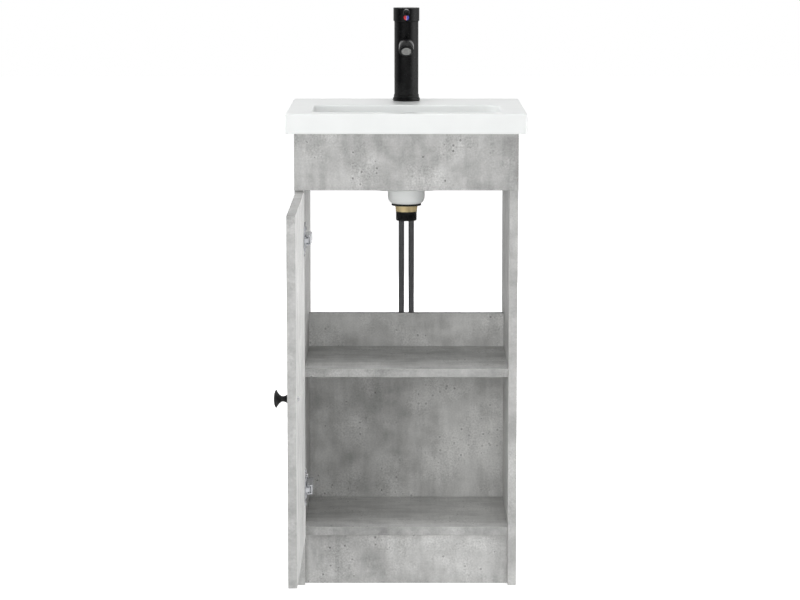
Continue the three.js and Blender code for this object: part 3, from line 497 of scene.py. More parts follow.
def turned(name, outline, place, axis=(0, 0, 1), sides=48, soft=0.0):
    """An outline of (radius, height) in mm, spun round an axis that starts from a place. An outline
    that doesn't start and end at radius 0 has to close on itself."""
    steps = [(radius / 1000, height / 1000) for radius, height in outline]
    bpy.ops.object.select_all(action="DESELECT")
    bpy.ops.mesh.primitive_plane_add(size=0.001)
    piece = bpy.context.object
    piece.name = name
    bpy.ops.object.mode_set(mode="EDIT")
    bpy.ops.mesh.select_mode(type="VERT")
    bpy.ops.mesh.select_all(action="SELECT")
    bpy.ops.mesh.merge(type="CENTER")
    bpy.ops.transform.translate(value=(steps[0][0], 0, steps[0][1]))
    for (radius, height), (next_radius, next_height) in zip(steps, steps[1:]):
        bpy.ops.mesh.extrude_region_move(
            TRANSFORM_OT_translate={"value": (next_radius - radius, 0, next_height - height)})
    bpy.ops.mesh.select_all(action="SELECT")
    bpy.ops.mesh.spin(steps=sides, angle=2 * math.pi, center=(0, 0, 0), axis=(0, 0, 1))
    bpy.ops.mesh.select_all(action="SELECT")
    bpy.ops.mesh.remove_doubles(threshold=0.000002)
    close_all()
    if soft:
        modify(piece, "BEVEL", width=soft, segments=2, limit_method="ANGLE", angle_limit=math.radians(28))
    piece.rotation_euler = Vector(axis).to_track_quat("Z", "Y").to_euler()
    piece.location = place
    apply_place()
    return piece


beech_finish, paint, surface = new_finish("beech", Specular_IOR_Level=0.3)
grain_place = paint.node("Mapping", {}, {"Vector": paint.spot(), "Scale": (0.08, 1.0, 1.0)})
rings = cloudy(paint, grain_place, 420, 4.0, 0.6)
flecks = cloudy(paint, grain_place, 1500, 2.0, 0.0).rise(0.6, 0.72)
feed(surface,
     Base_Color=(rings.rise(0.35, 0.65) - flecks * 0.5).colours(tone(176, 132, 86), tone(214, 176, 128)),
     Roughness=rings * 0.2 + 0.6,
     Normal=relief(paint, rings, 0.0002, 0.4))

flutes = 12
flute_width = 0.0012
low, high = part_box(cabinet_dowels[0])
length, radius = (high.x - low.x) * 1000, (high.z - low.z) * 500
first_middle = (low + high) / 2
model = turned("fluted_dowel", [
    (0, 0), (radius - 1, 0), (radius, 1), (radius, length - 1), (radius - 1, length), (0, length)],
    (low.x, first_middle.y, first_middle.z), (1, 0, 0), 2 * flutes)
reach = Vector((high.x - low.x, 0, 0))
for flute in range(flutes):
    angle = 2 * math.pi * flute / flutes
    side = Vector((0, math.cos(angle), math.sin(angle))) * (radius + 0.25) / 1000
    carve(model, peg(flute_width, first_middle + side - reach, first_middle + side + reach, 6))
smooth(model)
for dowel in cabinet_dowels:
    low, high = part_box(dowel)
    only(model)
    bpy.ops.object.duplicate()
    piece = bpy.context.object
    piece.name = dowel + "_peg"
    piece.location = (low + high) / 2 - first_middle
    apply_place()
    own(piece, beech_finish, "cabinet", "beech_dowel", dowel)
bpy.data.objects.remove(model)


# Door: one laminated board, bored on its inner face for the two hinge cups and drilled through for
# the knob's screw. It hangs open at a right angle.

cup_bore = 0.0356
knob_screw_bore = 0.0046
door_low, door_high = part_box("door_panel")
door = slab("door_panel_board", "door_panel", 0.0008)
for cup in ("lower_hinge_cup", "upper_hinge_cup"):
    carve(door, level_peg(cup_bore, cup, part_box(cup)[0].x - gap, door_high.x + past_face, 64))
carve(door, level_peg(knob_screw_bore, "knob_screw", door_low.x - past_face, door_high.x + past_face, 24))
outside_print = concrete_print("door_outside_print", "x", (6.2, 3.3, 0), 0.46)
# The inner face is the same laminate printed lighter than the outside, as painted light for the light that
# falls on it
inside_print_painted_light = concrete_print("door_inside_print", "x", (1.9, 7.3, 0), 0.68)
two_faced(smooth(door), "x", outside_print, inside_print_painted_light, band_finish)
own(door, None, "door", "concrete_board", "door_panel")


# Knob: a cast mushroom knob in satin black powder coat, with a slim neck and a wide face that is
# crowned inside a low rim. A screw from inside the door holds it.

knob_finish, paint, surface = new_finish("satin_black_coat", Specular_IOR_Level=0.5)
orange_peel = cloudy(paint, paint.spot(), 900, 2.0, 0.0)
worn = cloudy(paint, paint.spot(), 60, 4.0, 0.4).rise(0.45, 0.8)
feed(surface,
     Base_Color=worn.colours(tone(24, 24, 25), tone(40, 40, 41)),
     Roughness=0.34 + orange_peel * 0.16,
     Normal=relief(paint, orange_peel, 0.00015, 0.35))

knob_outline = [
    (0, 0), (7.25, 0), (7.2, 1.2), (6.9, 2.0), (6.2, 3.2), (5.5, 4.6), (5.0, 6.0), (4.7, 7.6),
    (4.65, 8.8), (4.9, 10.2), (5.6, 11.6), (6.8, 13.2), (8.4, 14.8), (10.3, 16.2), (12.3, 17.4),
    (14.2, 18.5), (14.9, 19.0), (15.0, 19.5), (14.85, 20.1), (14.3, 20.7), (13.4, 21.1), (12.9, 21.25),
    (12.6, 21.6), (11.4, 22.2), (9.0, 22.85), (6.0, 23.3), (3.0, 23.53), (0, 23.6),
]
knob_thread = 0.0103
knob_low, knob_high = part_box("door_knob")
knob_middle = (knob_low + knob_high) / 2
knob = turned("door_knob_cast", knob_outline, (knob_high.x, knob_middle.y, knob_middle.z), (-1, 0, 0), 96)
carve(knob, level_peg(knob_screw_bore, "door_knob", knob_high.x + 0.005, knob_high.x - knob_thread, 24))
own(smooth(knob, 40, False), knob_finish, "door", "black_knob", "door_knob")


# Screws: zinc-plated pan-head screws with a cross recess. One holds the knob, and four hold the
# hinge plates to the side panel.

def metal(name, colour, rough, brushed=(1.0, 1.0, 1.0), spread=0.12, dirt=0.12, bare=1.0):
    """A metal surface with fine tool marks, faint smears and a little darkening. A bare share
    below 1 is metal under a thin passivated or oxidised film, which scatters light."""
    finish, paint, surface = new_finish(name, Metallic=bare)
    along_marks = paint.node("Mapping", {}, {"Vector": paint.spot(), "Scale": brushed})
    marks = cloudy(paint, along_marks, 900, 3.0, 0.0)
    smears = cloudy(paint, paint.spot(), 45, 4.0, 0.5)
    dull = tuple(part * 0.55 for part in colour)
    feed(surface,
         Base_Color=(smears.rise(0.35, 0.65) * dirt).colours(colour, dull),
         Roughness=smears * spread + marks * spread + (rough - spread),
         Normal=relief(paint, marks, 0.00006, 0.35))
    return finish


def zigzag(first, second, start, pitch, count):
    """Outline points for a thread or grooves, which go to and fro between two radii."""
    return [(second if step % 2 else first, start + pitch * step) for step in range(count)]


def cross_cut(middle, span, depth):
    """Two crossed blades that cut a screw's recess into a head that faces along X."""
    slim = span * 0.24
    return [block(middle, (2 * depth, span, slim)), block(middle, (2 * depth, slim, span))]


def pan_screw(name, node, shank, head, thick):
    """A screw in a CAD screw's place, with its head towards +X and its lengths in mm."""
    low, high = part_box(node)
    length = (high.x - low.x) * 1000
    middle = (low + high) / 2
    thread = zigzag(shank / 2, shank / 2 - 0.35, 1.6, 0.5, int((length - thick - 2) / 0.5))
    outline = [(0, 0), (shank / 2 - 1.1, 0), *thread, (shank / 2 - 0.3, length - thick),
               (head / 2, length - thick), (head / 2, length - thick * 0.6),
               (head / 2 * 0.86, length - thick * 0.2), (head / 2 * 0.5, length), (0, length)]
    screw = turned(name, outline, (low.x, middle.y, middle.z), (1, 0, 0), 32)
    recess = cross_cut((high.x, middle.y, middle.z), head * 0.00058, thick * 0.0006)
    return smooth(carve(screw, *recess), 40)


zinc_finish = metal("bright_zinc", tone(224, 225, 227), 0.24, bare=0.35)
own(pan_screw("knob_pan_screw", "knob_screw", 4, 8, 2.4), zinc_finish, "door", "nickel_steel", "knob_screw")
for node in plate_screws:
    own(pan_screw(node + "_pan", node, 4, 7.6, 2), zinc_finish, "cabinet", "nickel_steel", node)


# Concealed hinges: a winged mounting plate on the side panel, a pressed arm clipped over it, two
# links on the arm's pins, and a drawn steel cup let into the door. All nickel-plated.

def pressed(name, node, soft=0.0003):
    """A piece made from a copy of the CAD solid, with its flats merged and its edges rounded."""
    piece = bpy.data.objects.new(name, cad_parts[node].data.copy())
    bpy.context.scene.collection.objects.link(piece)
    only(piece)
    open_all()
    bpy.ops.mesh.remove_doubles(threshold=0.000002)
    bpy.ops.mesh.dissolve_limited(angle_limit=math.radians(1))
    bpy.ops.object.mode_set(mode="OBJECT")
    # The copy brings normals of its own, which go back to those of its faces
    piece.data.normals_split_custom_set_from_vertices([(0, 0, 0)] * len(piece.data.vertices))
    modify(piece, "BEVEL", width=soft, segments=2, limit_method="ANGLE", angle_limit=math.radians(30))
    return piece


nickel_finish = metal("nickel_plate", tone(220, 222, 226), 0.22, bare=0.55)
depth_screw = (0.0215, 6.4)
side_screw = (0.0005, 5.2)
cup_screw_out = 0.0215

for level in ("lower", "upper"):
    hinge = level + "_hinge"
    plate_low, plate_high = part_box(hinge + "_plate")
    height = (plate_low.z + plate_high.z) / 2
    plate = pressed(hinge + "_plate_pressed", hinge + "_plate")
    own(smooth(plate), nickel_finish, "cabinet", "nickel_steel", hinge + "_plate")

    # The arm carries its depth screw and its side screw, sunk in the pressed face
    arm = pressed(hinge + "_arm_pressed", hinge + "_arm")
    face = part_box(hinge + "_arm")[1].x
    for back, head in (depth_screw, side_screw):
        carve(arm, peg((head + 1.2) / 1000, (face - 0.0007, back, height), (face + 0.003, back, height), 32))
        screw = turned("arm_screw", [
            (0, -0.6), (head / 2, -0.6), (head / 2, 0.3), (head / 2 - 0.4, 0.55), (0, 0.55)],
            (face - 0.0006, back, height), (1, 0, 0), 32)
        carve(screw, *cross_cut((face - 0.00005, back, height), head * 0.00062, 0.0005))
        carve(arm, screw, way="UNION")
    own(smooth(arm), nickel_finish, "cabinet", "nickel_steel", hinge + "_arm")

    for kind in ("outer", "inner"):
        node = f"{hinge}_{kind}_link"
        link = pressed(node + "_stamped", node, 0.0002)
        own(smooth(link, 40), nickel_finish, f"{level}_{kind}_link", "nickel_steel", node)

    # The cup's two screws go through the ears of its flange
    cup_low, cup_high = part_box(hinge + "_cup")
    cup_y = (cup_low.y + cup_high.y) / 2
    cup = pressed(hinge + "_cup_drawn", hinge + "_cup", 0.00025)
    for ear in (height - cup_screw_out, height + cup_screw_out):
        screw = turned("cup_screw", [(0, -0.4), (2.9, -0.4), (2.9, 0.35), (2.3, 0.9), (0, 1.05)],
                       (cup_high.x, cup_y, ear), (1, 0, 0), 32)
        carve(screw, *cross_cut((cup_high.x + 0.00105, cup_y, ear), 0.0034, 0.0006))
        carve(cup, screw, way="UNION")
    own(smooth(cup, 40), nickel_finish, "door", "nickel_steel", hinge + "_cup")


# Basin: one vitreous china casting with a glossy white glaze: a deck with crisp square edges, a
# rectangular bowl, a hollow underside and a round outlet boss. It rests on the cabinet's boards.

glaze_finish, paint, surface = new_finish("white_glaze", Specular_IOR_Level=0.3)
ripple = cloudy(paint, paint.spot(), 16, 2.0, 0.3)
wiped = cloudy(paint, paint.spot(), 60, 5.0, 0.8)
pinholes = cloudy(paint, paint.spot(), 700, 1.0, 0.0).rise(0.72, 0.8)
uneven = ripple.rise(0.3, 0.7) * 0.6 + pinholes * 0.4
feed(surface,
     Base_Color=uneven.colours(tone(239, 241, 240), tone(234, 236, 235)),
     Roughness=wiped * 0.12 + 0.26 + pinholes * 0.1,
     Normal=relief(paint, ripple - pinholes * 0.02, 0.0006, 0.12))

basin_low, basin_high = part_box("basin")
basin_middle = ((basin_low.x + basin_high.x) / 2, (basin_low.y + basin_high.y) / 2)
basin_half = ((basin_high.x - basin_low.x) / 2, (basin_high.y - basin_low.y) / 2)
basin_corner = 0.0045
rim_bottom = 0.805
rim_edge = 0.0025
foot_edge = 0.0012
ceramic = 0.009
hollow_middle = (0, 0.154, 0.81)
hollow_size = (0.354, 0.349, 0.036)
hollow_edge = 0.004
bowl_y = 0.0845
bowl_drop = 0.134
bowl_floor = deck_top - bowl_drop
bowl_half = (0.165, 0.093)
bowl_corner = 0.028
lip = 0.004
flange_recess = 0.0626
recess_deep = 0.002
outlet = 0.045
tap_hole = 0.035
quarter_round = [math.radians(degrees) for degrees in (0, 22.5, 45, 67.5, 90)]

# How far down the bowl, and what share of its half width and half depth is left there
bowl_shares = [
    (0.05, 0.997, 0.997), (0.12, 0.984, 0.982), (0.2, 0.97, 0.96), (0.34, 0.938, 0.924),
    (0.48, 0.903, 0.885), (0.62, 0.86, 0.84), (0.73, 0.82, 0.79), (0.82, 0.772, 0.736),
    (0.88, 0.725, 0.685), (0.92, 0.655, 0.625), (0.95, 0.55, 0.55), (0.972, 0.43, 0.475),
    (0.988, 0.32, 0.415), (1.0, 0.24, 0.37),
]


def rounded_block(name, half, radius, middle, top):
    """A flat rounded rectangle that looks up, with its face selected in edit mode."""
    bpy.ops.object.select_all(action="DESELECT")
    bpy.ops.mesh.primitive_plane_add(size=2, location=(*middle, top))
    piece = bpy.context.object
    piece.name = name
    piece.scale = (*half, 1)
    apply_place()
    open_all()
    bpy.ops.mesh.bevel(offset=radius, offset_type="OFFSET", segments=10, affect="VERTICES")
    bpy.ops.mesh.select_all(action="SELECT")
    return piece


def step_down(middle, old, new, drop):
    """Extrudes the selected face down and draws it in from one half size to the next."""
    bpy.ops.mesh.extrude_region_move(TRANSFORM_OT_translate={"value": (0, 0, -drop)})
    bpy.ops.transform.resize(value=(new[0] / old[0], new[1] / old[1], 1), center_override=(*middle, 0))


def bowl_form(name, wall):
    """The bowl's inside with its rounded lip, or its outside when it is grown by a wall."""
    if wall == 0:
        rings = [(bowl_half[0] + lip, bowl_half[1] + lip, deck_top + lip)]
        for bend in reversed(quarter_round):
            out = lip * (1 - math.cos(bend))
            rings.append((bowl_half[0] + out, bowl_half[1] + out, deck_top - lip * (1 - math.sin(bend))))
    else:
        rings = [(bowl_half[0] + wall, bowl_half[1] + wall, deck_top - 0.006)]
    for down, wide, deep in bowl_shares:
        under_floor = wall * max(0.0, (down - 0.6) / 0.4)
        rings.append((bowl_half[0] * wide + wall, bowl_half[1] * deep + wall,
                      deck_top - bowl_drop * down - under_floor))
    middle = (0, bowl_y)
    piece = rounded_block(name, rings[0][:2], bowl_corner + wall, middle, rings[0][2])
    for (x, y, z), (next_x, next_y, next_z) in zip(rings, rings[1:]):
        step_down(middle, (x, y), (next_x, next_y), z - next_z)
    close_all()
    return piece


half = (basin_half[0] - rim_edge, basin_half[1] - rim_edge)
basin = rounded_block("basin_casting", half, basin_corner, basin_middle, deck_top)
for before, bend in zip(quarter_round, quarter_round[1:]):
    grown = tuple(side - rim_edge * (1 - math.sin(bend)) for side in basin_half)
    step_down(basin_middle, half, grown, rim_edge * (math.cos(before) - math.cos(bend)))
    half = grown
step_down(basin_middle, half, half, deck_top - rim_edge - rim_bottom - foot_edge)
step_down(basin_middle, half, (half[0] - foot_edge, half[1] - foot_edge), foot_edge)
close_all()

# The hollow's block is rounded before its size is applied, so its edge is a share of each side
hollow = block(hollow_middle, hollow_size)
ease_all(hollow_edge)
carve(basin, hollow)
carve(basin, bowl_form("bowl_outside", ceramic), way="UNION")
boss = turned("outlet_boss", [
    (0, 0), (25.4, 0), (26.25, 0.35), (27.6, 1.2), (29.6, 3), (31.2, 5.2), (32.3, 8), (32.85, 11),
    (33, 14), (33, 29), (0, 29)], (0, bowl_y, basin_low.z), sides=64)
carve(basin, boss, way="UNION")
carve(basin, bowl_form("bowl_inside", 0))
carve(basin, peg(flange_recess, (0, bowl_y, bowl_floor - recess_deep), (0, bowl_y, bowl_floor + 0.03), 64),
      peg(outlet, (0, bowl_y, bowl_floor - 0.05), (0, bowl_y, bowl_floor + past_face), 64),
      peg(tap_hole, (0, tap_y, deck_top - 0.03), (0, tap_y, deck_top + past_face), 64))
own(smooth(basin), glaze_finish, "cabinet", "white_ceramic", "basin")


# Waste: a chromed brass flange and tube through the outlet, with a bridge that guides the plug; a
# black rubber gasket, a turned brass ring nut and a black threaded plastic tail draw it tight.

chrome_finish = metal("polished_chrome", tone(214, 217, 220), 0.14, spread=0.05, dirt=0.06)
brass_finish = metal("turned_brass", (0.96, 0.78, 0.44), 0.24, brushed=(0.15, 0.15, 6.0), dirt=0.15,
                     bare=0.65)

rubber_finish, paint, surface = new_finish("black_rubber", Specular_IOR_Level=0.4)
bloom = cloudy(paint, paint.spot(), 240, 4.0, 0.3)
feed(surface,
     Base_Color=bloom.rise(0.35, 0.7).colours(tone(22, 22, 22), tone(42, 42, 41)),
     Roughness=bloom * 0.2 + 0.62,
     Normal=relief(paint, bloom, 0.0001, 0.4))

moulded_finish, paint, surface = new_finish("black_moulding", Specular_IOR_Level=0.45)
flow = cloudy(paint, paint.spot(), 160, 3.0, 0.8)
feed(surface,
     Base_Color=flow.rise(0.3, 0.75).colours(tone(13, 13, 14), tone(28, 28, 29)),
     Roughness=flow * 0.22 + 0.34,
     Normal=relief(paint, flow, 0.00008, 0.3))


def stand_of(node):
    """The middle of a CAD node's foot, and its height in mm."""
    low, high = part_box(node)
    return Vector(((low.x + high.x) / 2, (low.y + high.y) / 2, low.z)), (high.z - low.z) * 1000


foot, tall = stand_of("waste_gasket")
gasket = turned("waste_gasket_ring", [
    (16.8, 0), (26.0, 0), (26.5, 0.5), (26.5, tall - 0.9), (26.0, tall - 0.25), (25.4, tall), (16.8, tall),
    (16.8, 0)], foot, sides=64, soft=0.0002)
own(smooth(gasket, 50), rubber_finish, "cabinet", "black_rubber", "waste_gasket")

foot, tall = stand_of("waste_nut")
nut = turned("waste_ring_nut", [
    (16.8, 0), (18.6, 0), (19.2, 0.5), (19.2, 3.4), (18.9, 3.7), (18.9, 4.0), (19.6, 4.4), (19.6, 6.2),
    (19.2, 6.6), (19.2, 7.2), (20.0, 7.6), (20.0, tall - 0.5), (19.5, tall), (16.8, tall), (16.8, 0)],
    foot, sides=96, soft=0.00012)
own(smooth(nut, 40), brass_finish, "cabinet", "yellow_brass", "waste_nut")

foot, tall = stand_of("waste_tail")
tail = turned("waste_threaded_tail", [
    (16.8, 0), (17.6, 0), (18.1, 0.5), *zigzag(18.1, 18.72, 1.3, 0.75, int((tall - 2.4) / 0.75)),
    (18.75, tall - 1.2), (18.75, tall), (16.8, tall), (16.8, 0)], foot, sides=64)
own(smooth(tail, 60, False), moulded_finish, "cabinet", "black_plastic", "waste_tail")

foot, tall = stand_of("waste_body")
flange = turned("waste_flange_and_tube", [
    (14, 0), (16.1, 0), *zigzag(16.5, 16.05, 1.0, 0.8, 36), (16.5, 30.2), (16.5, tall - 5.6),
    (19.0, tall - 2.7), (30.6, tall - 2.6), (31, tall - 2.1), (30.9, tall - 1.2), (29.6, tall - 0.35),
    (27.0, tall), (22.5, tall - 0.1), (18.5, tall - 0.7), (16.4, tall - 1.7), (15.0, tall - 3.2),
    (14.2, tall - 5.0), (14, tall - 6.4), (14, 0)], foot, sides=96)
guide_top = bowl_floor - recess_deep - 0.014
guide_size = (0.0305, 0.004, 0.009)
guide_foot = guide_top - guide_size[2]
guide_hub = 0.016
plug_stem_bore = 0.0086
carve(flange, block((0, bowl_y, guide_top - guide_size[2] / 2), guide_size),
      peg(guide_hub, (0, bowl_y, guide_foot), (0, bowl_y, guide_top)), way="UNION")
carve(flange, peg(plug_stem_bore, (0, bowl_y, guide_foot - 0.003), (0, bowl_y, guide_top + 0.003)))
own(smooth(flange, 34), chrome_finish, "cabinet", "chrome_brass", "waste_body")

foot, tall = stand_of("waste_plug")
crown = tall - 6.5
plug = turned("waste_dome_plug", [
    (0, 0), (3.4, 0), (4, 0.6), (4, crown - 0.6), *[(radius, crown + up) for radius, up in (
        (5, 0), (26.3, 0), (26.9, 0.5), (27, 1.4), (26.7, 2.6), (25.6, 3.6), (23.6, 4.3), (20, 5.0),
        (15, 5.6), (9, 6.2), (4, 6.45))], (0, tall)], foot, sides=96)
own(smooth(plug, 40, False), chrome_finish, "plug", "chrome_brass", "waste_plug")


# Tap: brass in a satin black coat. A thin rubber seal and a stepped base ring carry an upright
# body, cast in one with a short spout that bends down to the bowl.

tap_finish, paint, surface = new_finish("satin_black_tap", Specular_IOR_Level=0.5)
spray = cloudy(paint, paint.spot(), 1100, 2.0, 0.0)
wiped = cloudy(paint, paint.spot(), 38, 4.0, 0.6)
feed(surface,
     Base_Color=wiped.rise(0.4, 0.8).colours(tone(9, 9, 10), tone(17, 17, 18)),
     Roughness=spray * 0.1 + wiped * 0.14 + 0.15,
     Normal=relief(paint, spray, 0.0001, 0.25))

foot, tall = stand_of("tap_base_seal")
seal = turned("tap_base_seal_ring", [
    (18, 0), (24.1, 0), (24.3, 0.4), (24.3, tall - 0.4), (24.1, tall), (18, tall), (18, 0)],
    foot, sides=64)
own(smooth(seal, 50), rubber_finish, "cabinet", "black_rubber", "tap_base_seal")

foot, tall = stand_of("tap_base_ring")
ring = turned("tap_base_ring_turned", [
    (22.55, 0), (25.0, 0), (25.25, 0.3), (25.2, 2.6), (25.0, 3.2), (24.55, 4.0), (24.2, 5.0), (24.1, 5.5),
    (23.6, 5.75), (23.3, 6.1), (23.25, 7.0), (23.3, tall - 0.5), (23.1, tall - 0.1), (22.9, tall),
    (22.55, tall), (22.55, 0)], foot, sides=96)
own(smooth(ring, 28), tap_finish, "cabinet", "black_tap", "tap_base_ring")

spout_diameter = 0.027
spout_bore = 0.015
mouth_edge = 0.0009
spout_z = deck_top + 0.103
spout_reach = 0.112
bend_radius = 0.025
bend_angle = math.radians(40)
mouth = Vector((0, tap_y - spout_reach, spout_z - bend_radius * (1 - math.cos(bend_angle))))
inward = Vector((0, math.cos(bend_angle), math.sin(bend_angle)))


def bent_pipe(diameter, past, soft):
    """A round bar along the spout's course, from the tap's axis to a little past its mouth."""
    bend_y = tap_y - spout_reach + bend_radius * math.sin(bend_angle)
    bpy.ops.object.select_all(action="DESELECT")
    bpy.ops.mesh.primitive_circle_add(vertices=64, radius=diameter / 2, fill_type="NGON",
                                      location=(0, tap_y, spout_z), rotation=(math.pi / 2, 0, 0))
    piece = bpy.context.object
    apply_place()
    open_all()
    bpy.ops.mesh.extrude_region_move(TRANSFORM_OT_translate={"value": (0, bend_y - tap_y, 0)})
    bpy.ops.mesh.spin(steps=20, angle=bend_angle, center=(0, bend_y, spout_z - bend_radius), axis=(-1, 0, 0))
    if past:
        bpy.ops.mesh.extrude_region_move(TRANSFORM_OT_translate={"value": inward * -past})
    if soft:
        bpy.ops.mesh.select_mode(type="EDGE")
        bpy.ops.mesh.bevel(offset=soft, segments=4, affect="EDGES")
    close_all()
    return piece


# The body stands in the base ring. It is bored for the cartridge, the water, the stud and the hoses
tall = 144.5
body_foot = foot.z
body_top = body_foot + tall / 1000
pocket_floor = body_top - 0.038
cartridge_bore = 0.0366
waterway = 0.02
stud_bore = 0.0086
stud_back = 0.011
hose_bore = 0.008
hose_out = 0.0091
aerator_bore = 0.022
body = turned("tap_body_cast", [
    (0, 0), (22.0, 0), (22.25, 0.25), (22.25, tall - 0.5), (21.8, tall), (0, tall)], foot, sides=128)
carve(body, bent_pipe(spout_diameter, 0, mouth_edge), way="UNION")
under = body_foot - past_face
carve(body,
      peg(cartridge_bore, (0, tap_y, pocket_floor), (0, tap_y, body_top + past_face), 90),
      peg(waterway, (0, tap_y, body_foot + 0.0135), (0, tap_y, pocket_floor + 0.005)),
      peg(stud_bore, (0, tap_y + stud_back, under), (0, tap_y + stud_back, body_foot + 0.0113)))
for side in (-hose_out, hose_out):
    carve(body, peg(hose_bore, (side, tap_y, under), (side, tap_y, body_foot + 0.018)))
carve(body,
      bent_pipe(spout_bore, past_face, 0),
      peg(aerator_bore, mouth - inward * past_face, mouth + inward * 0.0083, 64))
own(smooth(body), tap_finish, "cabinet", "black_tap", "tap_body")


# Aerator: a grey plastic lattice that breaks up the jet, in a black housing pushed into the
# spout's mouth.

grey_finish, paint, surface = new_finish("grey_moulding", Specular_IOR_Level=0.45)
flow = cloudy(paint, paint.spot(), 300, 3.0, 0.5)
feed(surface,
     Base_Color=flow.rise(0.3, 0.7).colours(tone(138, 138, 137), tone(172, 172, 170)),
     Roughness=flow * 0.2 + 0.36,
     Normal=relief(paint, flow, 0.00006, 0.3))

housing = turned("aerator_housing_moulded", [
    (8.9, 0.3), (9.1, 0), (9.5, 0), (10.3, 0.9), (10.7, 2.0), (10.7, 7.0), (10.45, 7.3), (10.45, 8.5),
    (10.7, 8.8), (10.7, 10.0), (10.5, 10.2), (8.4, 10.2), (8.4, 2.4), (8.9, 2.4), (8.9, 0.3)],
    mouth - inward * 0.0022, inward, 64)
own(smooth(housing, 40), moulded_finish, "cabinet", "grey_plastic", "aerator_housing")

pitch = 0.0021
web = 0.0007
rows = 7
hole_size = (pitch - web, pitch - web, 0.008)
lattice_reach = 0.0081
face = mouth - inward * 0.0018
insert = turned("aerator_lattice", [
    (0, 0), (8.4, 0), (8.6, 0.2), (8.6, 1.5), (8.1, 1.8), (8.1, 7.8), (0, 7.8)], face, inward, 64)
holes = []
for across in range(rows):
    for along in range(rows):
        x, y = (across - rows // 2) * pitch, (along - rows // 2) * pitch
        if math.hypot(x, y) + pitch * 0.5 < lattice_reach:
            holes.append(block((x, y, 0), hole_size))
for hole in holes:
    hole.select_set(True)
bpy.ops.object.join()
lattice = bpy.context.object
apply_place()
lattice.rotation_euler = inward.to_track_quat("Z", "Y").to_euler()
lattice.location = face
own(smooth(carve(insert, lattice), 30), grey_finish, "cabinet", "grey_plastic", "aerator_insert")


# Cartridge: a white moulded body with sealing grooves, a carrier disc that turns in it with the
# handle, a brass stem that rocks in the carrier's slot, and a notched brass ring nut over them.

white_plastic, paint, surface = new_finish("white_moulding", Specular_IOR_Level=0.45)
flow = cloudy(paint, paint.spot(), 140, 3.0, 0.5)
feed(surface,
     Base_Color=flow.rise(0.3, 0.7).colours(tone(214, 213, 207), tone(233, 232, 227)),
     Roughness=flow * 0.2 + 0.34,
     Normal=relief(paint, flow, 0.00008, 0.3))

foot, tall = stand_of("cartridge_body")
holder = turned("cartridge_body_moulded", [
    (0, 0), (15.5, 0), (16.6, 0.8), (17.0, 2.6), (17.0, 5.2), (16.1, 5.5), (16.1, 7.1), (17.0, 7.4),
    (17.3, 10), (17.5, 12.5), (17.5, tall - 0.5), (17.1, tall), (13.5, tall), (13.5, tall - 9),
    (0, tall - 9)], foot, sides=64)
inlet_bore = 0.007
for side in (-0.0075, 0.0075):
    inlet = foot + Vector((side, -0.003, 0))
    carve(holder, peg(inlet_bore, inlet - Vector((0, 0, 0.004)), inlet + Vector((0, 0, 0.003))))
own(smooth(holder, 36), white_plastic, "cabinet", "white_plastic", "cartridge_body")

foot, tall = stand_of("cartridge_carrier")
disc = turned("cartridge_carrier_moulded", [
    (0, 0), (12.8, 0), (13.2, 0.4), (13.2, 3.4), (12.7, 3.8), (12.7, tall - 0.3), (12.4, tall), (0, tall)],
    foot, sides=64)
stem_slot = (0.0086, 0.022, 0.008)
carve(disc, block((0, tap_y, foot.z + tall / 1000), stem_slot))
own(smooth(disc, 36), white_plastic, "handle_carrier", "white_plastic", "cartridge_carrier")

foot, tall = stand_of("cartridge_nut")
nut = turned("cartridge_ring_nut", [
    (14.2, 0), *zigzag(18, 17.6, 0.3, 0.5, 9), (17.2, 4.9), (17.2, tall - 0.5), (16.8, tall), (14.5, tall),
    (14.2, tall - 0.4), (14.2, 0)], foot, sides=64)
notches = (0.05, 0.004, 0.004)
for pair in range(3):
    carve(nut, block((0, tap_y, foot.z + tall / 1000), notches, (0, 0, pair * math.pi / 3)))
own(smooth(nut, 40), brass_finish, "cabinet", "yellow_brass", "cartridge_nut")

foot, tall = stand_of("cartridge_stem")
stem_top = foot.z + tall / 1000
stem = turned("cartridge_stem_turned", [
    (0, 0), (3.6, 0), (4, 0.4), (4, 12), (3.5, 12.4), (3.5, 13.6), (4, 14), (4, tall - 0.7), (3.3, tall),
    (0, tall)], foot)
own(smooth(stem, 36), brass_finish, "handle", "yellow_brass", "cartridge_stem")


# Handle: a hollow black cap over the cartridge, with a socket on the stem, a pin screwed in as a
# lever towards the user, and a red and blue button under it.

cap_low, cap_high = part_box("handle_cap")
pin_low, pin_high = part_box("lever_pin")
dot_low, dot_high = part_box("indicator")
pin_z = (pin_low.z + pin_high.z) / 2
dot_z = (dot_low.z + dot_high.z) / 2
cap_front = cap_low.y
tall = (cap_high.z - cap_low.z) * 1000
ceiling = tall - 4
cap = turned("handle_cap_turned", [
    (0, ceiling), (22.9, ceiling), (22.9, 0), (23.2, 0), (24, 1.6), (24, tall - 0.6), (23.85, tall - 0.2),
    (23.4, tall), (0, tall)], (0, tap_y, cap_low.z), sides=128)
socket = 0.016
socket_arm = (0.015, 0.0222, 0.0172)
stem_bore = 0.0086
carve(cap, block((0, tap_y - 0.011, cap_high.z - 0.0114), socket_arm),
      peg(socket, (0, tap_y, cap_low.z + 0.0037), (0, tap_y, cap_high.z - 0.0035), 48), way="UNION")
carve(cap, peg(stem_bore, (0, tap_y, cap_low.z), (0, tap_y, stem_top + gap)))

# The cap's front is bored for the pin's thread, its shoulder and the button
for diameter, depth, height, sides in (
        (0.0066, 0.0103, pin_z, 32), (0.0116, 0.0011, pin_z, 48), (0.0101, 0.0017, dot_z, 48)):
    carve(cap, peg(diameter, (0, cap_front - past_face, height), (0, cap_front + depth, height), sides))
own(smooth(cap, 28), tap_finish, "handle", "black_tap", "handle_cap")

